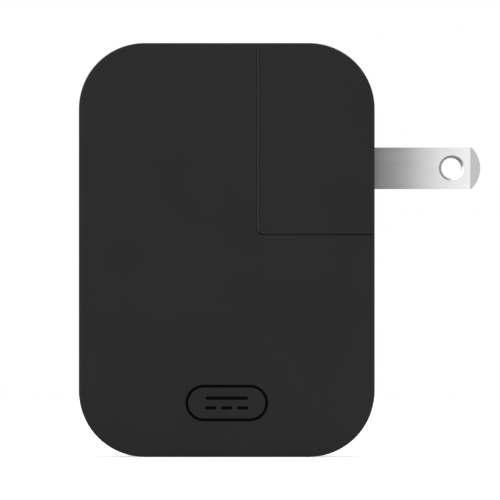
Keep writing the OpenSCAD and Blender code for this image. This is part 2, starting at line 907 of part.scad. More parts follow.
// The outer form of the plug head with the grooves for the guides, before it is hollowed
module head_form() {
    intersection() {
        slab();
        corner_steps(head_x, head_z, head_corner_r, seam_steps(-1, guide_h - head_gap + fit, fit));
    }
}

// The inside of the head, open to the left and below
module head_cavity(inset) {
    intersection() {
        outline(wall + inset);
        translate([head_x - over, head_z - over]) square(housing_h);
    }
}

module head_shell() {
    color("#2c2c2c") difference() {
        head_form();
        span_y(-inner_y, inner_y) head_cavity(0);
        for (s = [-1, 1]) {
            block([inner_x - over, s * blade_y - blade_t / 2 - blade_slot_fit,
                blade_z - blade_w / 2 - blade_slot_fit],
                [half_w + over, s * blade_y + blade_t / 2 + blade_slot_fit,
                blade_z + blade_w / 2 + blade_slot_fit]);
        }
    }
}

// The plate that closes the head: the slot for the stud and the nose for the inlet
module head_insert() {
    neck_half = stud_neck_d / 2 + stud_gap;
    slot_top = stud_z;
    color("#262626") difference() {
        union() {
            span_y(-inner_y + fit, inner_y - fit) difference() {
                intersection() {
                    head_cavity(fit);
                    corner_outline(head_x, head_z, head_corner_r);
                }
                translate([head_x + insert_t, head_z + insert_t]) square(housing_h);
            }
            span_y(-channel_half - channel_wall, channel_half + channel_wall) intersection() {
                translate([head_x, head_z]) {
                    square([channel_x + channel_wall - head_x, slot_top + channel_half + channel_wall - head_z]);
                }
                corner_outline(head_x, head_z, head_corner_r);
            }
            span_z(head_z - nose_l, head_z + insert_t) figure_eight(nose_gap);
        }
        // The narrow slot for the neck, open below
        span_x(head_x - over, head_x + insert_t + over / 2) {
            translate([-neck_half, head_z - over]) square([2 * neck_half, slot_top - head_z + over]);
            translate([0, slot_top]) circle(neck_half);
        }
        // The wide channel for the stud's head, open below
        span_x(head_x + insert_t, channel_x) {
            translate([-channel_half, head_z - over]) square([2 * channel_half, slot_top - head_z + over]);
            translate([0, slot_top]) circle(channel_half);
        }
        // The holes for the sprung sleeves
        for (s = [-1, 1]) {
            rod([inlet_x, s * pin_y, head_z - nose_l - over], [inlet_x, s * pin_y, head_z + insert_t + over],
                sleeve_hole_r);
        }
    }
}

// The moulded block that carries both blades behind the face
module blade_holder() {
    half_y = blade_y + blade_t / 2 + holder_wall;
    half_z = blade_w / 2 + holder_wall;
    color("#3a3a3a") difference() {
        block([holder_x, -half_y, blade_z - half_z], [inner_x, half_y, blade_z + half_z]);
        for (s = [-1, 1]) {
            block([holder_x - over, s * blade_y - blade_t / 2 - blade_slot_fit,
                blade_z - blade_w / 2 - blade_slot_fit],
                [inner_x + over, s * blade_y + blade_t / 2 + blade_slot_fit,
                blade_z + blade_w / 2 + blade_slot_fit]);
        }
        block([holder_x - over, -blade_y + blade_t / 2 + holder_wall, blade_z - half_z + holder_wall],
            [inner_x - holder_wall, blade_y - blade_t / 2 - holder_wall, blade_z + half_z - holder_wall]);
    }
}

// A flat blade with a round, tapered tip, a hole and a wide tang inside
module blade(side) {
    tip = half_w + blade_out;
    chamfer = 0.3;
    half = blade_w / 2;
    sag = blade_tip_r - sqrt(blade_tip_r * blade_tip_r - half * half);
    y = side * blade_y;
    rivet_x = holder_x - tang_l + strap_w / 2;
    color("#c8c9ca") difference() {
        intersection() {
            span_y(y - blade_t / 2, y + blade_t / 2) {
                translate([holder_x - tang_l, blade_z - tang_w / 2]) square([tang_l, tang_w]);
                intersection() {
                    translate([holder_x - over, blade_z - half]) square([tip - holder_x + over, blade_w]);
                    union() {
                        translate([holder_x - over, blade_z - half]) {
                            square([tip - sag - holder_x + over, blade_w]);
                        }
                        translate([tip - blade_tip_r, blade_z]) circle(blade_tip_r);
                    }
                }
            }
            span_z(blade_z - tang_w, blade_z + tang_w) polygon([
                [holder_x - tang_l - over, y - blade_t / 2], [tip - blade_taper, y - blade_t / 2],
                [tip, y - blade_tip_t / 2], [tip, y + blade_tip_t / 2],
                [tip - blade_taper, y + blade_t / 2], [holder_x - tang_l - over, y + blade_t / 2]
            ]);
        }
        translate([half_w + blade_hole_x, y, blade_z]) rotate([90, 0, 0]) {
            cylinder(d = blade_hole_d, h = 2 * blade_t, center = true);
            for (m = [0, 1]) mirror([0, 0, m]) translate([0, 0, blade_t / 2 - chamfer]) {
                cylinder(d1 = blade_hole_d, d2 = blade_hole_d + 4 * chamfer, h = 2 * chamfer);
            }
        }
        rod([rivet_x, y - blade_t, blade_z], [rivet_x, y + blade_t, blade_z], rivet_d / 2 + fit / 2);
    }
}

module blade_line() blade(-1);

module blade_neutral() blade(1);

// A sprung sleeve round the inlet pin, with a strap up to the blade
module contact(side) {
    x0 = holder_x - tang_l;
    y0 = blade_y - blade_t / 2 - strap_t;
    sleeve_low = head_z - nose_l + 0.8;
    sleeve_high = head_z + insert_t + sleeve_proud;
    color("#c58f4b") mirror([0, side > 0 ? 0 : 1, 0]) difference() {
        union() {
            rod([inlet_x, pin_y, sleeve_low], [inlet_x, pin_y, sleeve_high], sleeve_out_r);
            block([x0, y0, sleeve_high - sleeve_collar], [x0 + strap_w, y0 + strap_t, blade_z + 2.5]);
        }
        rod([inlet_x, pin_y, sleeve_low - over], [inlet_x, pin_y, sleeve_high + over], sleeve_in_r);
        block([inlet_x - 0.3, 0, sleeve_low - over], [inlet_x + 0.3, pin_y, sleeve_high - 3]);
        rod([x0 + strap_w / 2, y0 - over, blade_z], [x0 + strap_w / 2, y0 + over, blade_z],
            rivet_d / 2 + fit / 2);
    }
}

module contact_line() contact(-1);

module contact_neutral() contact(1);

// Rivets that join each blade to its contact
module blade_rivets() {
    x = holder_x - tang_l + strap_w / 2;
    y0 = blade_y - blade_t / 2 - strap_t;
    y1 = blade_y + blade_t / 2;
    color("#a8803f") for (m = [0, 1]) mirror([0, m, 0]) {
        rod([x, y0 - rivet_head_t, blade_z], [x, y1 + rivet_head_t, blade_z], rivet_d / 2);
        rod([x, y0 - rivet_head_t, blade_z], [x, y0, blade_z], rivet_head_d / 2);
        rod([x, y1, blade_z], [x, y1 + rivet_head_t, blade_z], rivet_head_d / 2);
    }
}

// The bowed leaf that presses on the stud's head
module stud_spring() {
    low = stud_z - 6;
    high = stud_z + 1.6;
    mid = (low + high) / 2;
    color("#b9bcc0") translate([0, spring_w / 2, 0]) rotate([90, 0, 0]) linear_extrude(spring_w) polygon([
        [channel_x, low], [channel_x, high], [channel_x - spring_t, high - 0.3],
        [channel_x - spring_bow, mid + 1], [channel_x - spring_bow, mid - 1],
        [channel_x - spring_t, low + 0.3]
    ]);
}

front_shell();
back_shell();
inlet_block();
inlet_pin_line();
inlet_pin_neutral();
lock_stud();
main_board();
output_board();
board_header();
usb_c_shell();
usb_c_tongue();
usb_c_contacts();
transformer_core();
transformer_bobbin();
transformer_winding();
transformer_pins();
bulk_capacitor();
output_capacitors();
x_capacitor();
y_capacitor();
choke_core();
choke_winding();
fuse();
thermistor();
bridge_rectifier();
power_transistor();
heat_sink();
heat_sink_screw();
optocoupler();
controller_chips();
heat_spreader();
insulation_sheet();
thermal_pad();
lead_line();
lead_neutral();
head_shell();
head_insert();
blade_holder();
blade_line();
blade_neutral();
contact_line();
contact_neutral();
blade_rivets();
stud_spring();
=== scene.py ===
"""Finishes, mark, small parts and stage of a laptop power adapter with a slide-off plug head."""
import json
import math

import bmesh
import bpy
from mathutils import Matrix, Vector

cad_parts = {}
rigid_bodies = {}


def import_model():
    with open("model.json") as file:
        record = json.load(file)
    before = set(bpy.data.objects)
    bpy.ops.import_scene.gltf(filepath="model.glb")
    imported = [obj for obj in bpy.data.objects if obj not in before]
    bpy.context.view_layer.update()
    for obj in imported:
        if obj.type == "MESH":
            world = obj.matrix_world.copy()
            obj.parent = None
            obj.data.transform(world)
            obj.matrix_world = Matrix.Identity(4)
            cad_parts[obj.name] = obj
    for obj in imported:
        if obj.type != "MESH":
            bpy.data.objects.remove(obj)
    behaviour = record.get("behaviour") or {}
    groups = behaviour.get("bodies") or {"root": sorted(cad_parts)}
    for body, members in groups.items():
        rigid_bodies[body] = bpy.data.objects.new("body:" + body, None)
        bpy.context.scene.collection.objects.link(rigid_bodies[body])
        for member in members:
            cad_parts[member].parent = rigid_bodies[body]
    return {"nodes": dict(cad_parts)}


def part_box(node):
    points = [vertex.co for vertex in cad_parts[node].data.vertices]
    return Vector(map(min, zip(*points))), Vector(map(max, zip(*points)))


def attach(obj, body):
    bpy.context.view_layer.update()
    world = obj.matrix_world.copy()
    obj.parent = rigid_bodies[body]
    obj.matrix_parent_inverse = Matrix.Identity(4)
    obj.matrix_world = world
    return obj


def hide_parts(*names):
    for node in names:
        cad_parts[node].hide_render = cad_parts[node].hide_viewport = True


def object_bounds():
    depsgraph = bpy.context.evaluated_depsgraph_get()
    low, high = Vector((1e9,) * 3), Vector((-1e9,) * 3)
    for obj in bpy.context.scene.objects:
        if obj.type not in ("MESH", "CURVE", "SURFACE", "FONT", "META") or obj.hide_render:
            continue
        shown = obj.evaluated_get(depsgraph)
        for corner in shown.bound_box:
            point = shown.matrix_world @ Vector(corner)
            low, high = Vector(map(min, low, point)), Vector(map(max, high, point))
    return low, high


bl_info = {
    "name": "Laptop power adapter",
    "version": (1, 0, 0),
    "blender": (4, 5, 0),
    "location": "View3D > Sidebar > Adapter",
    "description": "Finishes the housing, the plug head and the parts inside, and sets the stage",
    "category": "Object",
}

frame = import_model()
NODES = frame["nodes"]
CAD_LOW, CAD_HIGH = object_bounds()

# Lengths of the object that the pieces here line up with, in metres
FACE_Y = CAD_LOW.y
BLADE_ROOT_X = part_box("head_shell")[1].x
BLADE_TIP_X = CAD_HIGH.x
MM = 0.001


# ---- Building finishes ----

class Nodes:
    """A node tree to add nodes to, each fed with links or plain values."""

    def __init__(self, tree):
        self.tree = tree

    def node(self, kind, inputs=None, **settings):
        made = self.tree.nodes.new(kind)
        for key, value in settings.items():
            setattr(made, key, value)
        for key, value in (inputs or {}).items():
            self.feed(made.inputs[key], value)
        return made

    def first(self, kind, inputs=None, **settings):
        """The first output of a new node."""
        return self.node(kind, inputs, **settings).outputs[0]

    def feed(self, socket, value):
        if isinstance(value, bpy.types.NodeSocket):
            self.tree.links.new(value, socket)
        else:
            socket.default_value = value

    def calc(self, operation, a, b=0.0):
        return self.first("ShaderNodeMath", {0: a, 1: b}, operation=operation)

    def vector(self, x=0.0, y=0.0, z=0.0):
        return self.first("ShaderNodeCombineXYZ", {0: x, 1: y, 2: z})


class Finish(Nodes):
    """One material's node tree, built from the surface up."""

    def __init__(self, name):
        self.material = bpy.data.materials.new(name)
        self.material.use_nodes = True
        super().__init__(self.material.node_tree)
        self.shader = self.tree.nodes["Principled BSDF"]
        self.place = self.node("ShaderNodeTexCoord").outputs["Object"]

    def axes(self):
        """X, Y and Z of the place, in metres."""
        return self.node("ShaderNodeSeparateXYZ", {0: self.place}).outputs

    def stretched(self, scale):
        """The place, with each axis scaled, or as it is."""
        if scale is None:
            return self.place
        return self.first("ShaderNodeVectorMath", {0: self.place, 1: scale}, operation="MULTIPLY")

    def noise(self, size, detail=2.0, along=None):
        """Soft noise whose grains are about `size` metres wide; `along` scales each axis."""
        inputs = {"Vector": self.stretched(along), "Scale": 1 / size, "Detail": detail}
        return self.first("ShaderNodeTexNoise", inputs)

    def cells(self, size, along=None):
        """Distance from the nearest of many points, about `size` metres apart; `along` scales each axis."""
        inputs = {"Vector": self.stretched(along), "Scale": 1 / size}
        return self.node("ShaderNodeTexVoronoi", inputs).outputs["Distance"]

    def length(self, u, v):
        """Length of the flat vector with the sides u and v."""
        return self.calc("SQRT", self.calc("ADD", self.calc("MULTIPLY", u, u), self.calc("MULTIPLY", v, v)))

    def spread(self, value, low, high, to_low=0.0, to_high=1.0):
        return self.first("ShaderNodeMapRange", {"Value": value, "From Min": low, "From Max": high,
                                                 "To Min": to_low, "To Max": to_high})

    def vary(self, noise, to_low=0.0, to_high=1.0):
        """From one value to another over the range that a noise keeps to."""
        return self.spread(noise, 0.3, 0.7, to_low, to_high)

    def ramp(self, value, stops):
        made = self.node("ShaderNodeValToRGB", {0: value})
        points = made.color_ramp.elements
        while len(points) < len(stops):
            points.new(0.5)
        for point, (at, colour) in zip(points, stops):
            point.position = at
            point.color = rgba(colour)
        return made.outputs[0]

    def blend(self, share, a, b):
        """Mixes two colours, which the Mix node takes at 6 and 7 and gives back at 2."""
        return self.node("ShaderNodeMix", {0: share, 6: rgba(a), 7: rgba(b)}, data_type="RGBA").outputs[2]

    def mottle(self, noise, colour, darker, lighter):
        """One colour, from a darker tint to a lighter one over a noise."""
        return self.blend(self.vary(noise), tint(colour, darker), tint(colour, lighter))

    def bump(self, height, depth):
        """Relief `depth` metres deep where height goes from 0 to 1."""
        self.feed(self.shader.inputs["Normal"],
                  self.first("ShaderNodeBump", {"Height": height, "Distance": depth}))

    def surface(self, colour, roughness, metallic=0.0, specular=None, **more):
        self.feed(self.shader.inputs["Base Color"], rgba(colour))
        self.feed(self.shader.inputs["Roughness"], roughness)
        self.shader.inputs["Metallic"].default_value = metallic
        if specular is not None:
            self.shader.inputs["Specular IOR Level"].default_value = specular
        for key, value in more.items():
            self.shader.inputs[key.replace("_", " ")].default_value = value
        return self.material


def rgba(colour):
    """A socket as it is, or a plain colour with its alpha."""
    return colour if isinstance(colour, bpy.types.NodeSocket) else (*tuple(colour)[:3], 1.0)


def tint(colour, factor):
    return tuple(min(1.0, c * factor) for c in tuple(colour)[:3])


def dress(material, *nodes):
    """Gives a finish to CAD nodes."""
    for name in nodes:
        for slot in NODES[name].material_slots:
            slot.material = material


# ---- Finishes ----

def moulded_plastic(name, colour, roughness, grain, depth, specular, edge=None, side=1, painted_highlight=1.0):
    """Matt moulded plastic with the fine spark grain of its tool.

    The chamfer near X = edge that faces `side` gets a painted highlight, the colour tinted by the given
    factor."""
    reach = 0.11 * MM
    f = Finish(name)
    spark = f.noise(grain, detail=3.0)
    pits = f.cells(grain * 1.4)
    cloud = f.noise(14 * MM, detail=1.0)
    shade = f.blend(f.spread(cloud, 0.35, 0.65, 0.0, 1.0), tint(colour, 0.94), tint(colour, 1.06))
    shade = f.blend(f.spread(pits, 0.0, 0.55, 0.25, 0.0), shade, tint(colour, 0.7))
    if edge is not None:
        near = f.calc("LESS_THAN", f.calc("ABSOLUTE", f.calc("SUBTRACT", f.axes()[0], edge)), reach)
        normal = f.node("ShaderNodeNewGeometry").outputs["True Normal"]
        slant = f.first("ShaderNodeSeparateXYZ", {0: normal})
        painted_highlight_mask = f.calc("MULTIPLY", near, f.spread(slant, 0.3 * side, 0.6 * side))
        # Painted highlight on the seam chamfer that faces the light
        shade = f.blend(painted_highlight_mask, shade, tint(colour, painted_highlight))
    rough = f.vary(spark, roughness - 0.05, roughness + 0.05)
    f.bump(f.calc("MULTIPLY", spark, f.calc("ADD", pits, 0.5)), depth)
    return f.surface(shade, rough, specular=specular)


def smooth_plastic(name, colour, roughness, specular=0.4):
    """Plain moulded plastic of an inner piece, with faint flow marks."""
    f = Finish(name)
    flow = f.noise(3 * MM, detail=3.0, along=(1, 1, 0.3))
    speck = f.noise(0.3 * MM)
    shade = f.mottle(flow, colour, 0.88, 1.1)
    rough = f.vary(flow, roughness - 0.07, roughness + 0.07)
    f.bump(speck, 0.006 * MM)
    return f.surface(shade, rough, specular=specular)


def plated_blade(name, colour, painted_root_shade, root_x, tip_x, hole, hole_size):
    """Nickel plate on a stamped blade, with lines along it; painted shade darkens it towards the root and on
    the coined tip, and a painted shade and highlight lie round the hole.

    `hole` is the X and Z of the hole's middle, and `hole_size` the radius of its chamfer."""
    coin_from, coin_to = tip_x - 1.6 * MM, tip_x - 1.5 * MM
    # The tip shade and the chamfer shade are painted shade, and the burnished shade is a painted highlight
    painted_tip_shade, painted_chamfer_shade, painted_chamfer_highlight = 0.45, 0.365, 1.12
    line_depth, fill_slope = 0.0025 * MM, 1.4
    f = Finish(name)
    axes = f.axes()
    x, z = axes[0], axes[2]
    lines = f.noise(0.5 * MM, detail=2.0, along=(0.12, 2.5, 2.5))
    wipe = f.noise(2.4 * MM, detail=1.0, along=(0.5, 1, 1))

    # Painted shade along the blade: darkest at the root, lightening towards the tip
    painted_root_shades = ((0.0, painted_root_shade), (0.2, 1.1 * painted_root_shade), (0.3, 0.385),
              (0.45, 0.541), (0.62, 0.68), (0.88, 0.8))
    painted_shade_and_lines = f.ramp(f.spread(x, root_x, tip_x), [(at, tint(colour, shade)) for at, shade in painted_root_shades])
    # Painted shade: the coined tip is darkened
    painted_shade_and_lines = f.blend(f.spread(x, coin_from, coin_to), painted_shade_and_lines, tint(colour, painted_tip_shade))
    painted_shade_and_lines = f.blend(f.spread(lines, 0.35, 0.75, 0.0, 0.06), painted_shade_and_lines, tint(colour, 0.7))

    # The chamfer round the hole has painted shade, and towards the tip and the foot a painted highlight,
    # where its bump tilts it level with the face
    u, v = f.calc("SUBTRACT", x, hole[0]), f.calc("SUBTRACT", z, hole[1])
    radius = f.length(u, v)
    rim = f.calc("LESS_THAN", radius, hole_size)
    slope = f.calc("SUBTRACT", f.calc("MULTIPLY", u, 0.77), f.calc("MULTIPLY", v, 0.64))
    highlit_side = f.spread(slope, 0.2 * hole_size, 0.9 * hole_size)
    # Painted shade on the chamfer towards the root and the top, painted highlight towards the tip and the
    # foot
    chamfer = f.blend(highlit_side, tint(colour, painted_chamfer_shade), tint(colour, painted_chamfer_highlight))
    inside = f.calc("MAXIMUM", f.calc("SUBTRACT", hole_size, radius), 0.0)
    filled = f.calc("MULTIPLY", f.calc("MULTIPLY", inside, highlit_side), fill_slope)
    # Painted shade: the chamfer's shaded side is dark and not metal
    shaded_rim = f.calc("MULTIPLY", rim, f.calc("SUBTRACT", 1.0, highlit_side))

    f.bump(f.calc("ADD", f.calc("MULTIPLY", lines, line_depth), filled), 1.0)
    f.surface(f.blend(rim, painted_shade_and_lines, chamfer), f.vary(wipe, 0.42, 0.5))
    f.feed(f.shader.inputs["Metallic"], f.calc("SUBTRACT", 1.0, shaded_rim))
    return f.material


def worked_metal(name, colour, roughness, along=(1, 1, 1), line=0.4 * MM, depth=0.006 * MM, shade=0.8):
    """Drawn, rolled or turned metal, with its working lines."""
    f = Finish(name)
    lines = f.noise(line, detail=2.0, along=along)
    film = f.noise(4 * MM, detail=2.0)
    mixed = f.blend(f.spread(lines, 0.3, 0.75, 0.0, 0.5), colour, tint(colour, shade))
    mixed = f.blend(f.spread(film, 0.45, 0.75, 0.0, 0.35), mixed, tint(colour, 0.85))
    rough = f.vary(film, roughness - 0.05, roughness + 0.06)
    f.bump(lines, depth)
    return f.surface(mixed, rough, metallic=1.0)


def solder_tin():
    """The finish that the solder joints, the resistors' ends and the chip's legs share."""
    return bpy.data.materials.get("solder tin") or worked_metal(
        "solder tin", (0.66, 0.67, 0.68), 0.25, line=0.6 * MM, depth=0.01 * MM)


def board_laminate(name, mask, laminate, copper):
    """A circuit board: traces under a solder mask on both faces, bare laminate at the edges."""
    trace_step, pour_step, via_step = 9 * MM, 6 * MM, 2.6 * MM
    f = Finish(name)
    axes = f.axes()
    flat = f.vector(axes[0], axes[2])
    traces = f.node("ShaderNodeTexBrick", {"Vector": flat, "Scale": 1 / trace_step, "Mortar Size": 0.045,
                                           "Brick Width": 0.8, "Row Height": 0.42})
    fill = f.node("ShaderNodeTexVoronoi", {"Vector": flat, "Scale": 1 / pour_step}, distance="CHEBYCHEV")
    vias = f.spread(f.cells(via_step, along=(1, 0, 1)), 0.07, 0.09, 1.0, 0.0)
    pour = f.spread(fill.outputs["Distance"], 0.30, 0.32)
    on_copper = f.calc("MAXIMUM", f.calc("SUBTRACT", 1.0, traces.outputs["Fac"]), pour)
    face = f.blend(on_copper, tint(mask, 0.72), mask)
    face = f.blend(vias, face, copper)
    normal = f.node("ShaderNodeNewGeometry").outputs["Normal"]
    towards_back = f.node("ShaderNodeSeparateXYZ", {0: normal}).outputs[1]
    edge = f.calc("LESS_THAN", f.calc("ABSOLUTE", towards_back), 0.5)
    glass = f.noise(0.35 * MM, along=(1, 3, 1))
    side = f.blend(glass, tint(laminate, 0.8), laminate)
    f.bump(f.calc("ADD", on_copper, vias), 0.03 * MM)
    return f.surface(f.blend(edge, face, side), f.vary(glass, 0.32, 0.45), specular=0.5)


def wound_tape(name, colour, layer):
    """Tape wound in turns round the coil: lapped edges and a slight crinkle."""
    f = Finish(name)
    crinkle = f.noise(1.2 * MM, detail=3.0, along=(1, 0.3, 1))
    depth = f.calc("ADD", f.axes()[1], f.calc("MULTIPLY", crinkle, 0.2 * MM))
    lap = f.calc("FRACT", f.calc("DIVIDE", depth, layer))
    edge = f.spread(lap, 0.0, 0.12, 1.0, 0.0)
    shade = f.blend(edge, colour, tint(colour, 0.6))
    shade = f.blend(f.spread(crinkle, 0.4, 0.7, 0.0, 0.4), shade, tint(colour, 1.25))
    f.bump(f.calc("SUBTRACT", crinkle, edge), 0.05 * MM)
    return f.surface(shade, 0.38, specular=0.5, Coat_Weight=0.3)


def ceramic(name, colour, roughness=0.35, coat=0.4):
    """Dipped coating of a small component, slightly lumpy."""
    f = Finish(name)
    lump = f.noise(1.6 * MM, detail=2.0)
    dust = f.noise(0.25 * MM, detail=1.0)
    shade = f.mottle(lump, colour, 0.85, 1.12)
    rough = f.vary(dust, roughness - 0.05, roughness + 0.05)
    f.bump(lump, 0.08 * MM)
    return f.surface(shade, rough, specular=0.5, Coat_Weight=coat)


def ferrite(name, colour):
    """Sintered ferrite: dull dark grey with fine pores."""
    f = Finish(name)
    pores = f.cells(0.28 * MM)
    cloud = f.noise(5 * MM, detail=2.0)
    shade = f.mottle(cloud, colour, 0.85, 1.15)
    shade = f.blend(f.spread(pores, 0.0, 0.3, 0.6, 0.0), shade, tint(colour, 0.45))
    f.bump(f.spread(pores, 0.0, 0.35), 0.02 * MM)
    return f.surface(shade, f.vary(cloud, 0.55, 0.7), specular=0.35)


def capacitor_sleeve(name, body, sleeve, stripe, axis, end_size, turn, pair=0.0, lead_end=0.0):
    """A shrink sleeve over a can: bare metal at the can's low end, and the pale stripe of its negative side.

    `turn` is the stripe's angle round the can. Of two cans one over the other, `pair` is half the distance
    between them. Tinned leads fill the last `lead_end`."""
    half_stripe, half_dash, dash_step = 0.42, 0.14, 3.2 * MM
    bare_depth, vent_line, vent_reach = 0.06 * MM, 0.12 * MM, 0.7 * end_size
    bare_metal, vent_shade, tinned = (0.55, 0.56, 0.58), (0.2, 0.2, 0.21), (0.66, 0.66, 0.64)
    f = Finish(name)
    axes = f.axes()
    along = axes[axis]
    low, high = body
    middle = (low + high) / 2
    others = [a for a in range(3) if a != axis]
    u, v = (f.calc("SUBTRACT", axes[a], middle[a]) for a in others)
    if pair:
        v = f.calc("SUBTRACT", f.calc("ABSOLUTE", v), pair)
    angle = f.calc("ABSOLUTE", f.calc("SUBTRACT", f.calc("ARCTAN2", v, u), turn))
    radius = f.length(u, v)
    in_stripe = f.calc("LESS_THAN", angle, half_stripe)
    narrow = f.calc("LESS_THAN", angle, half_dash)
    dash = f.calc("LESS_THAN", f.calc("FRACT", f.calc("DIVIDE", along, dash_step)), 0.62)
    shrink = f.noise(1.4 * MM, detail=3.0)
    shade = f.blend(in_stripe, sleeve, stripe)
    shade = f.blend(f.calc("MULTIPLY", dash, narrow), shade, tint(sleeve, 0.8))
    shade = f.blend(f.spread(shrink, 0.45, 0.75, 0.0, 0.35), shade, tint(sleeve, 1.4))

    # The bare end, with the cross of its vent, and the leads
    bare = f.calc("MULTIPLY", f.calc("LESS_THAN", along, low[axis] + bare_depth),
                  f.calc("LESS_THAN", radius, end_size))
    nearest = f.calc("MINIMUM", f.calc("ABSOLUTE", u), f.calc("ABSOLUTE", v))
    cross = f.calc("MULTIPLY", f.calc("LESS_THAN", nearest, vent_line),
                   f.calc("LESS_THAN", radius, vent_reach))
    vent = f.calc("MULTIPLY", bare, cross)
    leads = f.calc("GREATER_THAN", along, high[axis] - lead_end)
    shade = f.blend(bare, shade, bare_metal)
    shade = f.blend(vent, shade, vent_shade)
    f.bump(f.calc("SUBTRACT", shrink, vent), 0.03 * MM)
    f.surface(f.blend(leads, shade, tinned), f.vary(shrink, 0.3, 0.4))
    f.feed(f.shader.inputs["Metallic"], f.calc("MAXIMUM", bare, leads))
    return f.material


def moulded_package(name, colour, lead, axis, above, below):
    """A black or white moulded package whose leads, past its body, are tinned metal."""
    f = Finish(name)
    along = f.axes()[axis]
    grain = f.noise(0.2 * MM, detail=2.0)
    metal = f.calc("MAXIMUM", f.calc("GREATER_THAN", along, above), f.calc("LESS_THAN", along, below))
    body = f.mottle(grain, colour, 0.94, 1.06)
    f.bump(grain, 0.01 * MM)
    f.surface(f.blend(metal, body, lead), f.vary(grain, 0.38, 0.5))
    f.feed(f.shader.inputs["Metallic"], metal)
    return f.material


def soft_sheet(name, colour, roughness, weave, specular=0.4):
    """A thin sheet or a soft pad with a fine pressed pattern."""
    f = Finish(name)
    waves = f.node("ShaderNodeTexChecker", {"Vector": f.place, "Scale": 1 / weave}).outputs["Fac"]
    cloud = f.noise(6 * MM, detail=2.0)
    shade = f.mottle(cloud, colour, 0.93, 1.05)
    shade = f.blend(f.calc("MULTIPLY", waves, 0.08), shade, tint(colour, 0.6))
    rough = f.vary(cloud, roughness - 0.05, roughness + 0.05)
    f.bump(f.calc("ADD", waves, cloud), 0.01 * MM)
    return f.surface(shade, rough, specular=specular)


def wire_jacket(name, colour):
    """Extruded insulation with a faint draw along its length."""
    f = Finish(name)
    draw = f.noise(0.7 * MM, detail=2.0, along=(1, 1, 0.4))
    shade = f.mottle(draw, colour, 0.88, 1.1)
    f.bump(draw, 0.01 * MM)
    return f.surface(shade, f.vary(draw, 0.38, 0.5), specular=0.5)


# ---- Building meshes ----

def mesh_piece(name, bm, material):
    """A finished object at the origin, from a bmesh whose places are the row frame's."""
    bmesh.ops.recalc_face_normals(bm, faces=bm.faces)
    mesh = bpy.data.meshes.new(name)
    bm.to_mesh(mesh)
    bm.free()
    mesh.materials.append(material)
    piece = bpy.data.objects.new(name, mesh)
    bpy.context.scene.collection.objects.link(piece)
    return piece


def pill_outline(x, z, width, height, steps=20):
    """Points round a bar with half-round ends, in X and Z."""
    r = height / 2
    run = width / 2 - r
    points = []
    for side, start in ((1, -90), (-1, 90)):
        for i in range(steps + 1):
            a = math.radians(start + 180 * i / steps)
            points.append((x + side * run + r * math.cos(a), z + r * math.sin(a)))
    return points


def round_outline(x, z, width, height, r, steps=5):
    """Points round an oblong with round corners, in X and Z."""
    points = []
    for turn, (sx, sz) in enumerate(((1, -1), (1, 1), (-1, 1), (-1, -1))):
        corner_x, corner_z = x + sx * (width / 2 - r), z + sz * (height / 2 - r)
        for i in range(steps + 1):
            a = math.radians(90 * (turn - 1) + 90 * i / steps)
            points.append((corner_x + r * math.cos(a), corner_z + r * math.sin(a)))
    return points


def inlay(bm, outline, y_front, y_back, hole=None):
    """A thin plate between two depths, with a hole or without."""
    rings = [[[bm.verts.new((x, y, z)) for x, z in loop] for y in (y_front, y_back)]
             for loop in ([outline, hole] if hole else [outline])]
    count = len(outline)
    for front, back in rings:
        for i in range(count):
            j = (i + 1) % count
            bm.faces.new((front[i], front[j], back[j], back[i]))
    if not hole:
        bm.faces.new(rings[0][0])
        bm.faces.new(rings[0][1])
        return
    for level in (0, 1):
        outer, inner = rings[0][level], rings[1][level]
        for i in range(count):
            j = (i + 1) % count
            bm.faces.new((outer[i], outer[j], inner[j], inner[i]))


def settle(piece):
    """Lets a piece ride on the adapter."""
    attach(piece, "adapter")


# ---- Geometry node trees ----

class PieceTree(Nodes):
    """A geometry node tree with named inputs, ending in Realize Instances and Set Material."""

    def __init__(self, name):
        super().__init__(bpy.data.node_groups.new(name, "GeometryNodeTree"))
        self.tree.interface.new_socket("Geometry", in_out="OUTPUT", socket_type="NodeSocketGeometry")
        self.tree.interface.new_socket("Places", in_out="INPUT", socket_type="NodeSocketGeometry")
        self.ids = {}
        self.start = self.tree.nodes.new("NodeGroupInput")
        self.end = self.tree.nodes.new("NodeGroupOutput")

    def size(self, name, value, kind="NodeSocketFloat"):
        """Adds a named input."""
        made = self.tree.interface.new_socket(name, in_out="INPUT", socket_type=kind)
        made.default_value = value
        self.ids[name] = made.identifier

    def given(self, name):
        return self.start.outputs[name]

    def close(self, geometry, material):
        real = self.first("GeometryNodeRealizeInstances", {0: geometry})
        done = self.first("GeometryNodeSetMaterial", {0: real, "Material": material})
        self.tree.links.new(done, self.end.inputs[0])

    def piece(self, name, places=(), **values):
        """Runs the tree on a mesh of bare places and returns the plain mesh that comes out."""
        holder = bpy.data.objects.new(name + "_holder", bpy.data.meshes.new(name + "_holder"))
        holder.data.from_pydata(places, [], [])
        bpy.context.scene.collection.objects.link(holder)
        modifier = holder.modifiers.new(self.tree.name, "NODES")
        modifier.node_group = self.tree
        for key, value in values.items():
            modifier[self.ids[key]] = value
        graph = bpy.context.evaluated_depsgraph_get()
        mesh = bpy.data.meshes.new_from_object(holder.evaluated_get(graph), depsgraph=graph)
        holder.modifiers.clear()
        bpy.data.objects.remove(holder)
        if not mesh.polygons:
            raise RuntimeError(f"{name} came out empty")
        mesh.name = name
        made = bpy.data.objects.new(name, mesh)
        bpy.context.scene.collection.objects.link(made)
        return made


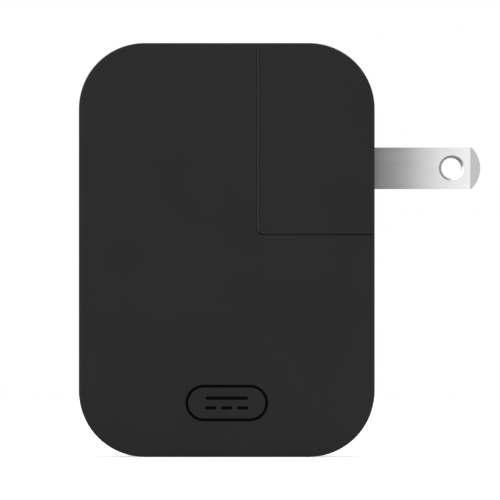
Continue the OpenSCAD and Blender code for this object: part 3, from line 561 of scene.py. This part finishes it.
def coil_tree(material):
    """Turns of wire round a ring core: a rounded loop, repeated along two arcs."""
    t = PieceTree("Coil turns")
    t.size("turns", 7, "NodeSocketInt")
    t.size("ring_radius", 3.6 * MM)
    t.size("loop_width", 3.1 * MM)
    t.size("loop_height", 3.5 * MM)
    t.size("wire_radius", 0.3 * MM)
    t.size("sweep", math.radians(120))
    loop = t.first("GeometryNodeCurvePrimitiveQuadrilateral",
                   {"Width": t.given("loop_width"), "Height": t.given("loop_height")})
    loop = t.first("GeometryNodeFilletCurve", {"Curve": loop, "Radius": 0.6 * MM, "Count": 4},
                   mode="POLY")
    wire = t.first("GeometryNodeCurvePrimitiveCircle", {"Radius": t.given("wire_radius"),
                                                        "Resolution": 10})
    turn = t.first("GeometryNodeCurveToMesh", {"Curve": loop, "Profile Curve": wire})
    turn = t.first("GeometryNodeTransform", {"Geometry": turn, "Rotation": (math.pi / 2, 0, 0)})
    per_coil = t.given("turns")
    points = t.first("GeometryNodePoints", {"Count": t.calc("MULTIPLY", per_coil, 2)})
    index = t.first("GeometryNodeInputIndex")
    coil = t.calc("FLOOR", t.calc("DIVIDE", index, per_coil))
    middle_turn = t.calc("DIVIDE", t.calc("SUBTRACT", per_coil, 1), 2)
    step = t.calc("DIVIDE", t.calc("SUBTRACT", t.calc("MODULO", index, per_coil), middle_turn), per_coil)
    angle = t.calc("ADD", t.calc("MULTIPLY", coil, math.pi), t.calc("MULTIPLY", step, t.given("sweep")))
    across = t.calc("MULTIPLY", t.calc("COSINE", angle), t.given("ring_radius"))
    up = t.calc("MULTIPLY", t.calc("SINE", angle), t.given("ring_radius"))
    place = t.vector(across, up)
    points = t.first("GeometryNodeSetPosition", {"Geometry": points, "Position": place})
    turned = t.first("FunctionNodeEulerToRotation", {0: t.vector(z=angle)})
    turns = t.first("GeometryNodeInstanceOnPoints", {"Points": points, "Instance": turn,
                                                     "Rotation": turned})
    smooth = t.first("GeometryNodeSetShadeSmooth", {"Geometry": turns})
    t.close(smooth, material)
    return t


def block_tree(material):
    """A small block on each place."""
    t = PieceTree("Blocks on places")
    t.size("width", 1.0 * MM)
    t.size("depth", 0.5 * MM)
    t.size("height", 1.0 * MM)
    size = t.vector(t.given("width"), t.given("depth"), t.given("height"))
    block = t.first("GeometryNodeMeshCube", {"Size": size})
    set_out = t.first("GeometryNodeInstanceOnPoints", {"Points": t.given("Places"), "Instance": block})
    t.close(set_out, material)
    return t


def joint_tree(material):
    """A solder joint on each place: a fillet that climbs the end of a lead, which points to +Y."""
    fillet_share, hollow = 0.75, 1.8
    t = PieceTree("Solder joints")
    t.size("foot_radius", 0.85 * MM)
    t.size("lead_radius", 0.26 * MM)
    t.size("reach", 0.95 * MM)
    tip = t.vector(y=t.given("reach"))
    lead = t.first("GeometryNodeCurvePrimitiveLine", {"Start": (0, 0, 0), "End": tip})
    lead = t.first("GeometryNodeResampleCurve", {"Curve": lead, "Count": 9})
    along = t.node("GeometryNodeSplineParameter").outputs["Factor"]
    climb = t.calc("MAXIMUM", t.calc("SUBTRACT", 1.0, t.calc("DIVIDE", along, fillet_share)), 0.0)
    spread = t.calc("MULTIPLY", t.calc("POWER", climb, hollow),
                    t.calc("SUBTRACT", t.given("foot_radius"), t.given("lead_radius")))
    radius = t.calc("ADD", spread, t.given("lead_radius"))
    ring = t.first("GeometryNodeCurvePrimitiveCircle", {"Radius": 1.0, "Resolution": 14})
    joint = t.first("GeometryNodeCurveToMesh", {"Curve": lead, "Profile Curve": ring, "Scale": radius,
                                                "Fill Caps": True})
    set_out = t.first("GeometryNodeInstanceOnPoints", {"Points": t.given("Places"), "Instance": joint})
    t.close(t.first("GeometryNodeSetShadeSmooth", {"Geometry": set_out}), material)
    return t


# ---- Sizes and colours that a user may change ----

class MouldedShells(bpy.types.PropertyGroup):
    shell_colour: bpy.props.FloatVectorProperty(
        name="Shell colour", description="Colour of the housing and the plug head", subtype="COLOR",
        size=3, min=0, max=1, default=(0.0138, 0.0138, 0.014))
    shell_roughness: bpy.props.FloatProperty(
        name="Shell roughness", description="Roughness of the moulded surface", subtype="FACTOR",
        min=0.1, max=1, default=0.6)
    grain: bpy.props.FloatProperty(
        name="Grain", description="Width of the spark grain", unit="LENGTH", default=0.22 * MM)
    grain_depth: bpy.props.FloatProperty(
        name="Grain depth", description="Depth of the spark grain", unit="LENGTH", default=0.006 * MM)
    inner_colour: bpy.props.FloatVectorProperty(
        name="Inlet colour", description="Colour of the inlet block and the head's closing plate",
        subtype="COLOR", size=3, min=0, max=1, default=(0.011, 0.011, 0.012))


class BrightMetals(bpy.types.PropertyGroup):
    plate_colour: bpy.props.FloatVectorProperty(
        name="Plate colour", description="Colour of the nickel plate", subtype="COLOR",
        size=3, min=0, max=1, default=(0.88, 0.88, 0.89))
    # Painted shade: how far the plate is darkened at the blade's root
    painted_root_shade: bpy.props.FloatProperty(
        name="Root shade", description="How bright the plate stays at the blade's root", subtype="FACTOR",
        min=0, max=1, default=0.295)
    steel_colour: bpy.props.FloatVectorProperty(
        name="Steel colour", description="Colour of the lock stud and the port's shell", subtype="COLOR",
        size=3, min=0, max=1, default=(0.56, 0.57, 0.58))
    bronze_colour: bpy.props.FloatVectorProperty(
        name="Bronze colour", description="Colour of the contacts and rivets", subtype="COLOR",
        size=3, min=0, max=1, default=(0.72, 0.46, 0.2))
    gold_colour: bpy.props.FloatVectorProperty(
        name="Gold colour", description="Colour of the port's contacts", subtype="COLOR",
        size=3, min=0, max=1, default=(0.9, 0.66, 0.27))


class BoardsAndParts(bpy.types.PropertyGroup):
    mask_colour: bpy.props.FloatVectorProperty(
        name="Mask colour", description="Colour of the boards' solder mask", subtype="COLOR",
        size=3, min=0, max=1, default=(0.02, 0.16, 0.06))
    laminate_colour: bpy.props.FloatVectorProperty(
        name="Laminate colour", description="Colour of the boards' bare edge", subtype="COLOR",
        size=3, min=0, max=1, default=(0.5, 0.45, 0.24))
    tape_colour: bpy.props.FloatVectorProperty(
        name="Tape colour", description="Colour of the transformer's tape", subtype="COLOR",
        size=3, min=0, max=1, default=(0.72, 0.5, 0.06))


class FaceMark(bpy.types.PropertyGroup):
    width: bpy.props.FloatProperty(
        name="Width", description="Width of the long round outline", unit="LENGTH", default=12.72 * MM)
    height: bpy.props.FloatProperty(
        name="Height", description="Height of the long round outline", unit="LENGTH", default=5.62 * MM)
    line: bpy.props.FloatProperty(
        name="Line", description="Width of the printed line", unit="LENGTH", default=0.44 * MM)
    rise: bpy.props.FloatProperty(
        name="Rise", description="Height of the mark's middle above the foot", unit="LENGTH",
        default=8.3 * MM)
    ink: bpy.props.FloatVectorProperty(
        name="Ink", description="Colour of the ink", subtype="COLOR", size=3, min=0, max=1,
        default=(0.0003, 0.0003, 0.0003))


class ChokeCoils(bpy.types.PropertyGroup):
    turns: bpy.props.IntProperty(
        name="Turns", description="Turns in each of the two coils", min=2, max=12, default=7)
    sweep: bpy.props.FloatProperty(
        name="Sweep", description="Angle that each coil covers", subtype="ANGLE", default=math.radians(132))
    copper_colour: bpy.props.FloatVectorProperty(
        name="Copper colour", description="Colour of the enamelled wire", subtype="COLOR",
        size=3, min=0, max=1, default=(0.72, 0.27, 0.09))


class BoardDetail(bpy.types.PropertyGroup):
    foot_radius: bpy.props.FloatProperty(
        name="Joint radius", description="Radius of a solder joint on the board", unit="LENGTH",
        default=0.85 * MM)
    reach: bpy.props.FloatProperty(
        name="Lead end", description="Length of the lead's end above the board", unit="LENGTH",
        default=0.95 * MM)
    resistor_length: bpy.props.FloatProperty(
        name="Resistor length", description="Length of a chip resistor", unit="LENGTH", default=2.0 * MM)
    resistor_step: bpy.props.FloatProperty(
        name="Resistor step", description="Distance from one chip resistor to the next", unit="LENGTH",
        default=2.2 * MM)
    band_width: bpy.props.FloatProperty(
        name="Band width", description="Width of the tape band round the core", unit="LENGTH",
        default=6.4 * MM)
    band_colour: bpy.props.FloatVectorProperty(
        name="Band colour", description="Colour of the tape band round the core", subtype="COLOR",
        size=3, min=0, max=1, default=(0.75, 0.55, 0.08))


class Stage(bpy.types.PropertyGroup):
    floor_size: bpy.props.FloatProperty(
        name="Floor size", description="Width of the floor", unit="LENGTH", default=2.4)
    floor_colour: bpy.props.FloatVectorProperty(
        name="Floor colour", description="Colour of the floor", subtype="COLOR", size=3, min=0, max=1,
        default=(0.86, 0.86, 0.86))
    sky: bpy.props.FloatProperty(
        name="Sky", description="Strength of the even light from all round", min=0, max=2, default=0.55)
    key_power: bpy.props.FloatProperty(
        name="Key lamp", description="Power of the soft lamp at the front left", unit="POWER", default=6.5)
    fill_power: bpy.props.FloatProperty(
        name="Fill lamp", description="Power of the soft lamp at the front right", unit="POWER", default=3.0)
    back_power: bpy.props.FloatProperty(
        name="Back lamp", description="Power of the soft lamp behind", unit="POWER", default=5.0)
    lens: bpy.props.FloatProperty(
        name="Lens", description="Focal length, in millimetres", min=50, max=2000, default=1400)
    view_width: bpy.props.FloatProperty(
        name="View width", description="Width of the picture at the front face", unit="LENGTH",
        default=76.8 * MM)
    view_centre: bpy.props.FloatVectorProperty(
        name="View centre", description="Point of the front face at the picture's middle",
        subtype="TRANSLATION", size=3, default=(3.57 * MM, -14 * MM, 31.8 * MM))


# ---- Operators ----

class ADAPTER_OT_moulded_shells(bpy.types.Operator):
    """Finish the housing, the plug head, the inlet and the plastics round them"""
    bl_idname = "adapter.moulded_shells"
    bl_label = "Moulded shells"

    def execute(self, context):
        p = context.scene.adapter_shells
        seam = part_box("head_shell")[0].x
        gloss = 0.16
        plastic = (p.shell_colour, p.shell_roughness, p.grain, p.grain_depth, gloss)
        # Both seam chamfers get a painted highlight, the head's the brighter
        shell = moulded_plastic("shell plastic", *plastic, edge=seam - 0.1 * MM, side=1, painted_highlight=1.6)
        head = moulded_plastic("head plastic", *plastic, edge=seam + 0.05 * MM, side=-1, painted_highlight=4.4)
        dress(shell, "front_shell", "back_shell")
        dress(head, "head_shell")
        fine, shallow = 0.5 * p.grain, 0.5 * p.grain_depth
        inlet = moulded_plastic("inlet plastic", p.inner_colour, 0.42, fine, shallow, 0.3)
        dress(inlet, "inlet_block", "head_insert")
        dress(smooth_plastic("tongue plastic", (0.012, 0.012, 0.013), 0.35), "usb_c_tongue")
        dress(smooth_plastic("holder plastic", (0.03, 0.03, 0.032), 0.45), "blade_holder")
        return {"FINISHED"}


class ADAPTER_OT_bright_metals(bpy.types.Operator):
    """Finish the blades, the pins, the stud, the port and the contacts"""
    bl_idname = "adapter.bright_metals"
    bl_label = "Bright metals"

    def execute(self, context):
        p = context.scene.adapter_metals
        hole_from_root, chamfer_radius = 11.9 * MM, 1.98 * MM
        low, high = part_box("blade_line")
        hole = (BLADE_ROOT_X + hole_from_root, (low.z + high.z) / 2)
        plate = plated_blade("blade plate", p.plate_colour, p.painted_root_shade, BLADE_ROOT_X, BLADE_TIP_X,
                             hole, chamfer_radius)
        dress(plate, "blade_line", "blade_neutral")
        dress(worked_metal("pin plate", p.plate_colour, 0.25, along=(1, 1, 0.15)),
              "inlet_pin_line", "inlet_pin_neutral")
        dress(worked_metal("turned steel", p.steel_colour, 0.3, along=(3, 0.5, 0.5)), "lock_stud")
        dress(worked_metal("port steel", p.steel_colour, 0.28, along=(0.2, 2, 2)), "usb_c_shell")
        dress(worked_metal("spring steel", tint(p.steel_colour, 0.8), 0.33, along=(1, 1, 0.2)), "stud_spring")
        dress(worked_metal("contact bronze", p.bronze_colour, 0.34, along=(1, 1, 0.2)),
              "contact_line", "contact_neutral")
        dress(worked_metal("rivet brass", tint(p.bronze_colour, 1.1), 0.3), "blade_rivets")
        dress(worked_metal("contact gold", p.gold_colour, 0.22, line=0.15 * MM), "usb_c_contacts")
        dress(worked_metal("sink aluminium", (0.68, 0.69, 0.71), 0.42, along=(1, 0.15, 2)), "heat_sink")
        dress(worked_metal("zinc screw", (0.6, 0.6, 0.58), 0.35), "heat_sink_screw")
        dress(worked_metal("spreader copper", (0.82, 0.43, 0.24), 0.38, along=(0.15, 1, 2)), "heat_spreader")
        dress(worked_metal("tinned pin", (0.72, 0.72, 0.7), 0.35), "transformer_pins")
        return {"FINISHED"}


class ADAPTER_OT_boards_and_parts(bpy.types.Operator):
    """Finish the boards and the electrical parts on them"""
    bl_idname = "adapter.boards_and_parts"
    bl_label = "Boards and parts"

    def execute(self, context):
        p = context.scene.adapter_parts
        tinned = (0.7, 0.7, 0.68)
        dress(board_laminate("board laminate", p.mask_colour, p.laminate_colour, (0.62, 0.5, 0.3)),
              "main_board", "output_board")
        dress(smooth_plastic("header plastic", (0.014, 0.014, 0.015), 0.4), "board_header")
        dress(ferrite("core ferrite", (0.05, 0.052, 0.055)), "transformer_core")
        dress(smooth_plastic("bobbin plastic", (0.62, 0.52, 0.3), 0.45), "transformer_bobbin")
        dress(wound_tape("winding tape", p.tape_colour, 1.9 * MM), "transformer_winding")
        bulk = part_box("bulk_capacitor")
        dress(capacitor_sleeve("bulk sleeve", bulk, (0.012, 0.016, 0.03), (0.42, 0.44, 0.46), axis=0,
                               end_size=5.2 * MM, turn=-2.2, lead_end=1.08 * MM), "bulk_capacitor")
        low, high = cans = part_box("output_capacitors")
        pair = ((high.z - low.z) - (high.x - low.x)) / 2
        dress(capacitor_sleeve("can sleeve", cans, (0.015, 0.02, 0.04), (0.4, 0.4, 0.42), axis=1,
                               end_size=2.5 * MM, turn=0.4, pair=pair), "output_capacitors")
        dress(smooth_plastic("film capacitor box", (0.6, 0.44, 0.06), 0.42), "x_capacitor")
        dress(ceramic("disc coating", (0.03, 0.16, 0.42)), "y_capacitor")
        dress(ceramic("core enamel", (0.07, 0.2, 0.05), 0.4), "choke_core")
        dress(ceramic("fuse coating", (0.2, 0.07, 0.025), 0.4), "fuse")
        dress(ceramic("thermistor coating", (0.03, 0.17, 0.05), 0.5, 0.15), "thermistor")
        low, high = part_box("bridge_rectifier")
        dress(moulded_package("rectifier package", (0.014, 0.014, 0.015), tinned, axis=1,
                              above=high.y - 3.4 * MM, below=low.y), "bridge_rectifier")
        low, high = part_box("power_transistor")
        dress(moulded_package("transistor package", (0.013, 0.013, 0.014), tinned, axis=1,
                              above=high.y - 2.8 * MM, below=low.y + 6.2 * MM), "power_transistor")
        low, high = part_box("optocoupler")
        dress(moulded_package("coupler package", (0.7, 0.68, 0.62), tinned, axis=0,
                              above=high.x - 0.4 * MM, below=low.x + 0.3 * MM), "optocoupler")
        dress(smooth_plastic("chip package", (0.013, 0.013, 0.013), 0.5), "controller_chips")
        dress(soft_sheet("insulation film", (0.72, 0.68, 0.55), 0.35, weave=0.8 * MM), "insulation_sheet")
        dress(soft_sheet("pad silicone", (0.33, 0.45, 0.62), 0.7, weave=0.5 * MM, specular=0.3),
              "thermal_pad")
        dress(wire_jacket("line jacket", (0.14, 0.05, 0.02)), "lead_line")
        dress(wire_jacket("neutral jacket", (0.02, 0.1, 0.36)), "lead_neutral")
        return {"FINISHED"}


class ADAPTER_OT_face_mark(bpy.types.Operator):
    """Print the long round outline with the direct current sign low on the front face"""
    bl_idname = "adapter.face_mark"
    bl_label = "Face mark"

    def execute(self, context):
        p = context.scene.adapter_mark
        half_depth = 0.02 * MM
        front, back = FACE_Y - half_depth, FACE_Y + half_depth
        bm = bmesh.new()
        inlay(bm, pill_outline(0, p.rise, p.width, p.height), front, back,
              pill_outline(0, p.rise, p.width - 2 * p.line, p.height - 2 * p.line))
        bar, dash, gap, apart = 6.6 * MM, 1.7 * MM, 0.75 * MM, 0.75 * MM
        thick = 1.15 * p.line
        inlay(bm, pill_outline(0, p.rise + apart, bar, thick, steps=6), front, back)
        for i in (-1, 0, 1):
            inlay(bm, pill_outline(i * (dash + gap), p.rise - apart, dash, thick, steps=6), front, back)
        f = Finish("printed ink")
        speck = f.noise(0.12 * MM)
        f.bump(speck, 0.003 * MM)
        ink = f.surface(f.blend(speck, tint(p.ink, 0.8), tint(p.ink, 1.3)),
                        f.vary(speck, 0.5, 0.6), specular=0.03)
        settle(mesh_piece("face_mark", bm, ink))
        return {"FINISHED"}


class ADAPTER_OT_choke_coils(bpy.types.Operator):
    """Wind the two coils of the line filter, turn by turn"""
    bl_idname = "adapter.choke_coils"
    bl_label = "Choke coils"

    def execute(self, context):
        p = context.scene.adapter_coils
        low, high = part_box("choke_winding")
        core_low, core_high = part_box("choke_core")
        middle = (core_low + core_high) / 2
        wire = core_low.z - low.z
        inner, outer = self.bore(middle) - wire, (core_high.x - core_low.x) / 2 + wire
        tree = coil_tree(worked_metal("enamelled copper", p.copper_colour, 0.28, along=(1, 1, 1)))
        coils = tree.piece("choke_coils", turns=p.turns, sweep=p.sweep, wire_radius=0.42 * wire,
                           ring_radius=(inner + outer) / 2, loop_width=outer - inner - wire,
                           loop_height=high.z - low.z - wire)
        coils.data.transform(Matrix.Translation(middle))
        settle(coils)
        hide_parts("choke_winding")
        return {"FINISHED"}

    def bore(self, middle):
        """The radius of the core's hole, from its own mesh."""
        points = (v.co for v in NODES["choke_core"].data.vertices)
        return min(math.hypot(at.x - middle.x, at.y - middle.y) for at in points)


# Places of the leads of each piece on the main board, as shares of its box in X and Z
LEADS = {
    "bulk_capacitor": ((0.98, 0.232), (0.98, 0.768)),
    "output_capacitors": ((0.3, 0.24), (0.7, 0.24), (0.3, 0.76), (0.7, 0.76)),
    "transformer_pins": [(x, z) for x in (0.016, 0.984) for z in (0.027, 0.342, 0.658, 0.973)],
    "x_capacitor": ((0.06, 0.5), (0.94, 0.5)),
    "choke_core": [(x, z) for x in (0.22, 0.78) for z in (-0.1, 1.1)],
    "bridge_rectifier": [(0.5, z) for z in (0.12, 0.373, 0.627, 0.88)],
    "power_transistor": [(0.5, z) for z in (0.246, 0.5, 0.754)],
    "optocoupler": [(x, z) for x in (0.1, 0.9) for z in (0.23, 0.78)],
    "y_capacitor": ((0.15, 0.5), (0.85, 0.5)),
    "fuse": ((0.5, 0.5),),
    "thermistor": ((0.12, 0.5), (0.88, 0.5)),
    "board_header": [(0.5, z) for z in (0.1, 0.5, 0.9)],
}


class ADAPTER_OT_solder_joints(bpy.types.Operator):
    """Solder the leads on the back of the main board"""
    bl_idname = "adapter.solder_joints"
    bl_label = "Solder joints"

    def execute(self, context):
        p = context.scene.adapter_detail
        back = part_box("main_board")[1].y
        places = []
        for name, shares in LEADS.items():
            low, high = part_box(name)
            wide, tall = high.x - low.x, high.z - low.z
            places += [(low.x + a * wide, back, low.z + b * tall) for a, b in shares]
        joints = joint_tree(solder_tin()).piece("solder_joints", places, foot_radius=p.foot_radius,
                                                reach=p.reach)
        settle(joints)
        return {"FINISHED"}


class ADAPTER_OT_chip_resistors(bpy.types.Operator):
    """Set a column of chip resistors on each side of the output capacitors"""
    bl_idname = "adapter.chip_resistors"
    bl_label = "Chip resistors"

    def execute(self, context):
        p = context.scene.adapter_detail
        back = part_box("main_board")[1].y
        low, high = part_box("output_capacitors")
        thick, end, beside, rows = 0.5 * MM, 0.35 * MM, 1.7 * MM, 7
        places = []
        for x in (low.x - beside, high.x + beside):
            places += [(x, back + thick / 2, low.z + i * p.resistor_step) for i in range(rows)]
        body = smooth_plastic("resistor ceramic", (0.02, 0.02, 0.022), 0.4)
        settle(block_tree(body).piece("resistor_bodies", places, width=p.resistor_length - 2 * end,
                                      depth=thick, height=0.62 * p.resistor_length))
        offset = (p.resistor_length - end) / 2
        ends = [(x + s * offset, y, z) for x, y, z in places for s in (-1, 1)]
        settle(block_tree(solder_tin()).piece("resistor_ends", ends, width=end, depth=1.06 * thick,
                                              height=0.64 * p.resistor_length))
        return {"FINISHED"}


class ADAPTER_OT_chip_legs(bpy.types.Operator):
    """Add four legs at each end of the chip on the main board"""
    bl_idname = "adapter.chip_legs"
    bl_label = "Chip legs"

    def execute(self, context):
        low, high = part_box("controller_chips")
        leg, thick, count = 0.7 * MM, 0.4 * MM, 4
        step = (high.x - low.x) / count
        places = [(low.x + (i + 0.5) * step, high.y - thick / 2, z)
                  for i in range(count) for z in (low.z - leg / 2, high.z + leg / 2)]
        legs = block_tree(solder_tin()).piece("chip_legs", places, width=0.4 * step, depth=thick, height=leg)
        settle(legs)
        return {"FINISHED"}


class ADAPTER_OT_core_band(bpy.types.Operator):
    """Wrap the tape that holds the two halves of the core together"""
    bl_idname = "adapter.core_band"
    bl_label = "Core band"

    def execute(self, context):
        p = context.scene.adapter_detail
        low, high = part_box("transformer_core")
        middle, size = (low + high) / 2, high - low
        thick, outer_corner, inner_corner = 0.12 * MM, 0.3 * MM, 0.12 * MM
        bm = bmesh.new()
        inlay(bm, round_outline(middle.y, middle.z, size.y + 2 * thick, size.z + 2 * thick, outer_corner),
              middle.x - p.band_width / 2, middle.x + p.band_width / 2,
              round_outline(middle.y, middle.z, size.y, size.z, inner_corner))
        swap_axes = Matrix(((0, 1, 0, 0), (1, 0, 0, 0), (0, 0, 1, 0), (0, 0, 0, 1)))
        bmesh.ops.transform(bm, matrix=swap_axes, verts=bm.verts)
        tape = wound_tape("band tape", p.band_colour, 4 * MM)
        settle(mesh_piece("core_band", bm, tape))
        return {"FINISHED"}


class ADAPTER_OT_stage(bpy.types.Operator):
    """Set the floor, the soft lamps, the even sky and the camera"""
    bl_idname = "adapter.stage"
    bl_label = "Stage"

    def execute(self, context):
        p = context.scene.adapter_stage
        self.floor(p)
        self.sky(p)
        middle = Vector((0, 0, 0.03))
        self.lamp("Key", (-0.75, -1.05, 0.8), middle, p.key_power, 0.9)
        self.lamp("Fill", (1.0, -0.9, 0.45), middle, p.fill_power, 1.0)
        self.lamp("Back", (0.4, 1.1, 0.9), middle, p.back_power, 0.9)
        camera = bpy.data.cameras.new("Camera")
        camera.lens = p.lens
        distance = p.view_width * camera.lens / camera.sensor_width
        camera.clip_start, camera.clip_end = 0.1, 2 * distance
        seat = bpy.data.objects.new("Camera", camera)
        seat.location = Vector(p.view_centre) - Vector((0, distance, 0))
        seat.rotation_euler = (math.pi / 2, 0, 0)
        context.scene.collection.objects.link(seat)
        context.scene.camera = seat
        context.scene.view_settings.view_transform = "Standard"
        return {"FINISHED"}

    def floor(self, p):
        """A pale floor, brighter to the eye than the light that it gives back."""
        sunk, glow_strength = 0.05 * MM, 0.65
        f = Finish("pale floor")
        cloud = f.noise(0.05)
        f.surface(f.blend(cloud, tint(p.floor_colour, 0.99), p.floor_colour), 0.9, specular=0.1)
        glow = f.first("ShaderNodeEmission", {"Color": (1, 1, 1, 1), "Strength": glow_strength})
        path = f.node("ShaderNodeLightPath").outputs
        lifted = f.first("ShaderNodeAddShader", {0: f.shader.outputs[0], 1: glow})
        seen = f.calc("MAXIMUM", path["Is Camera Ray"], path["Is Glossy Ray"])
        chosen = f.first("ShaderNodeMixShader", {0: seen, 1: f.shader.outputs[0], 2: lifted})
        f.tree.links.new(chosen, f.tree.nodes["Material Output"].inputs["Surface"])
        bm = bmesh.new()
        bmesh.ops.create_grid(bm, x_segments=8, y_segments=8, size=p.floor_size / 2)
        bmesh.ops.translate(bm, vec=(0, 0, -sunk), verts=bm.verts)
        mesh_piece("floor", bm, f.material)

    def sky(self, p):
        """An even sky, white where it is seen or mirrored."""
        world = bpy.data.worlds.new("Sky")
        bpy.context.scene.world = world
        world.use_nodes = True
        world.node_tree.nodes.clear()
        t = Nodes(world.node_tree)
        white = (1, 1, 1, 1)
        path = t.node("ShaderNodeLightPath").outputs
        seen = path["Is Camera Ray"]
        for name in ("Is Glossy Ray", "Is Transmission Ray"):
            seen = t.calc("MAXIMUM", seen, path[name])
        even, bright = (t.first("ShaderNodeBackground", {"Color": white, "Strength": strength})
                        for strength in (p.sky, 1.0))
        chosen = t.first("ShaderNodeMixShader", {0: seen, 1: even, 2: bright})
        t.node("ShaderNodeOutputWorld", {0: chosen})

    def lamp(self, name, place, aim, power, size):
        light = bpy.data.lights.new(name, "AREA")
        light.energy, light.size = power, size
        seat = bpy.data.objects.new(name, light)
        seat.location = place
        seat.rotation_euler = (aim - Vector(place)).to_track_quat("-Z", "Y").to_euler()
        bpy.context.scene.collection.objects.link(seat)


class ADAPTER_PT_sidebar(bpy.types.Panel):
    """The adapter's pieces, in the order in which they are made"""
    bl_idname = "ADAPTER_PT_sidebar"
    bl_label = "Laptop power adapter"
    bl_space_type = "VIEW_3D"
    bl_region_type = "UI"
    bl_category = "Adapter"

    def draw(self, context):
        for group, operators in STEPS:
            box = self.layout.box()
            settings = getattr(context.scene, group)
            for key in settings.bl_rna.properties.keys():
                if key not in ("rna_type", "name"):
                    box.prop(settings, key)
            for operator in operators:
                box.operator(operator.bl_idname)


GROUPS = {
    "adapter_shells": MouldedShells,
    "adapter_metals": BrightMetals,
    "adapter_parts": BoardsAndParts,
    "adapter_mark": FaceMark,
    "adapter_coils": ChokeCoils,
    "adapter_detail": BoardDetail,
    "adapter_stage": Stage,
}
STEPS = [
    ("adapter_shells", [ADAPTER_OT_moulded_shells]),
    ("adapter_metals", [ADAPTER_OT_bright_metals]),
    ("adapter_parts", [ADAPTER_OT_boards_and_parts]),
    ("adapter_mark", [ADAPTER_OT_face_mark]),
    ("adapter_coils", [ADAPTER_OT_choke_coils]),
    ("adapter_detail", [ADAPTER_OT_solder_joints, ADAPTER_OT_chip_resistors, ADAPTER_OT_chip_legs,
                        ADAPTER_OT_core_band]),
    ("adapter_stage", [ADAPTER_OT_stage]),
]
CLASSES = [*GROUPS.values(), *(o for _, operators in STEPS for o in operators), ADAPTER_PT_sidebar]


def register():
    for c in CLASSES:
        bpy.utils.register_class(c)
    for name, group in GROUPS.items():
        setattr(bpy.types.Scene, name, bpy.props.PointerProperty(type=group))


def unregister():
    for name in GROUPS:
        delattr(bpy.types.Scene, name)
    for c in reversed(CLASSES):
        bpy.utils.unregister_class(c)


def main():
    register()
    for _, operators in STEPS:
        for operator in operators:
            group, name = operator.bl_idname.split(".")
            getattr(getattr(bpy.ops, group), name)()


if __name__ == "__main__":
    main()
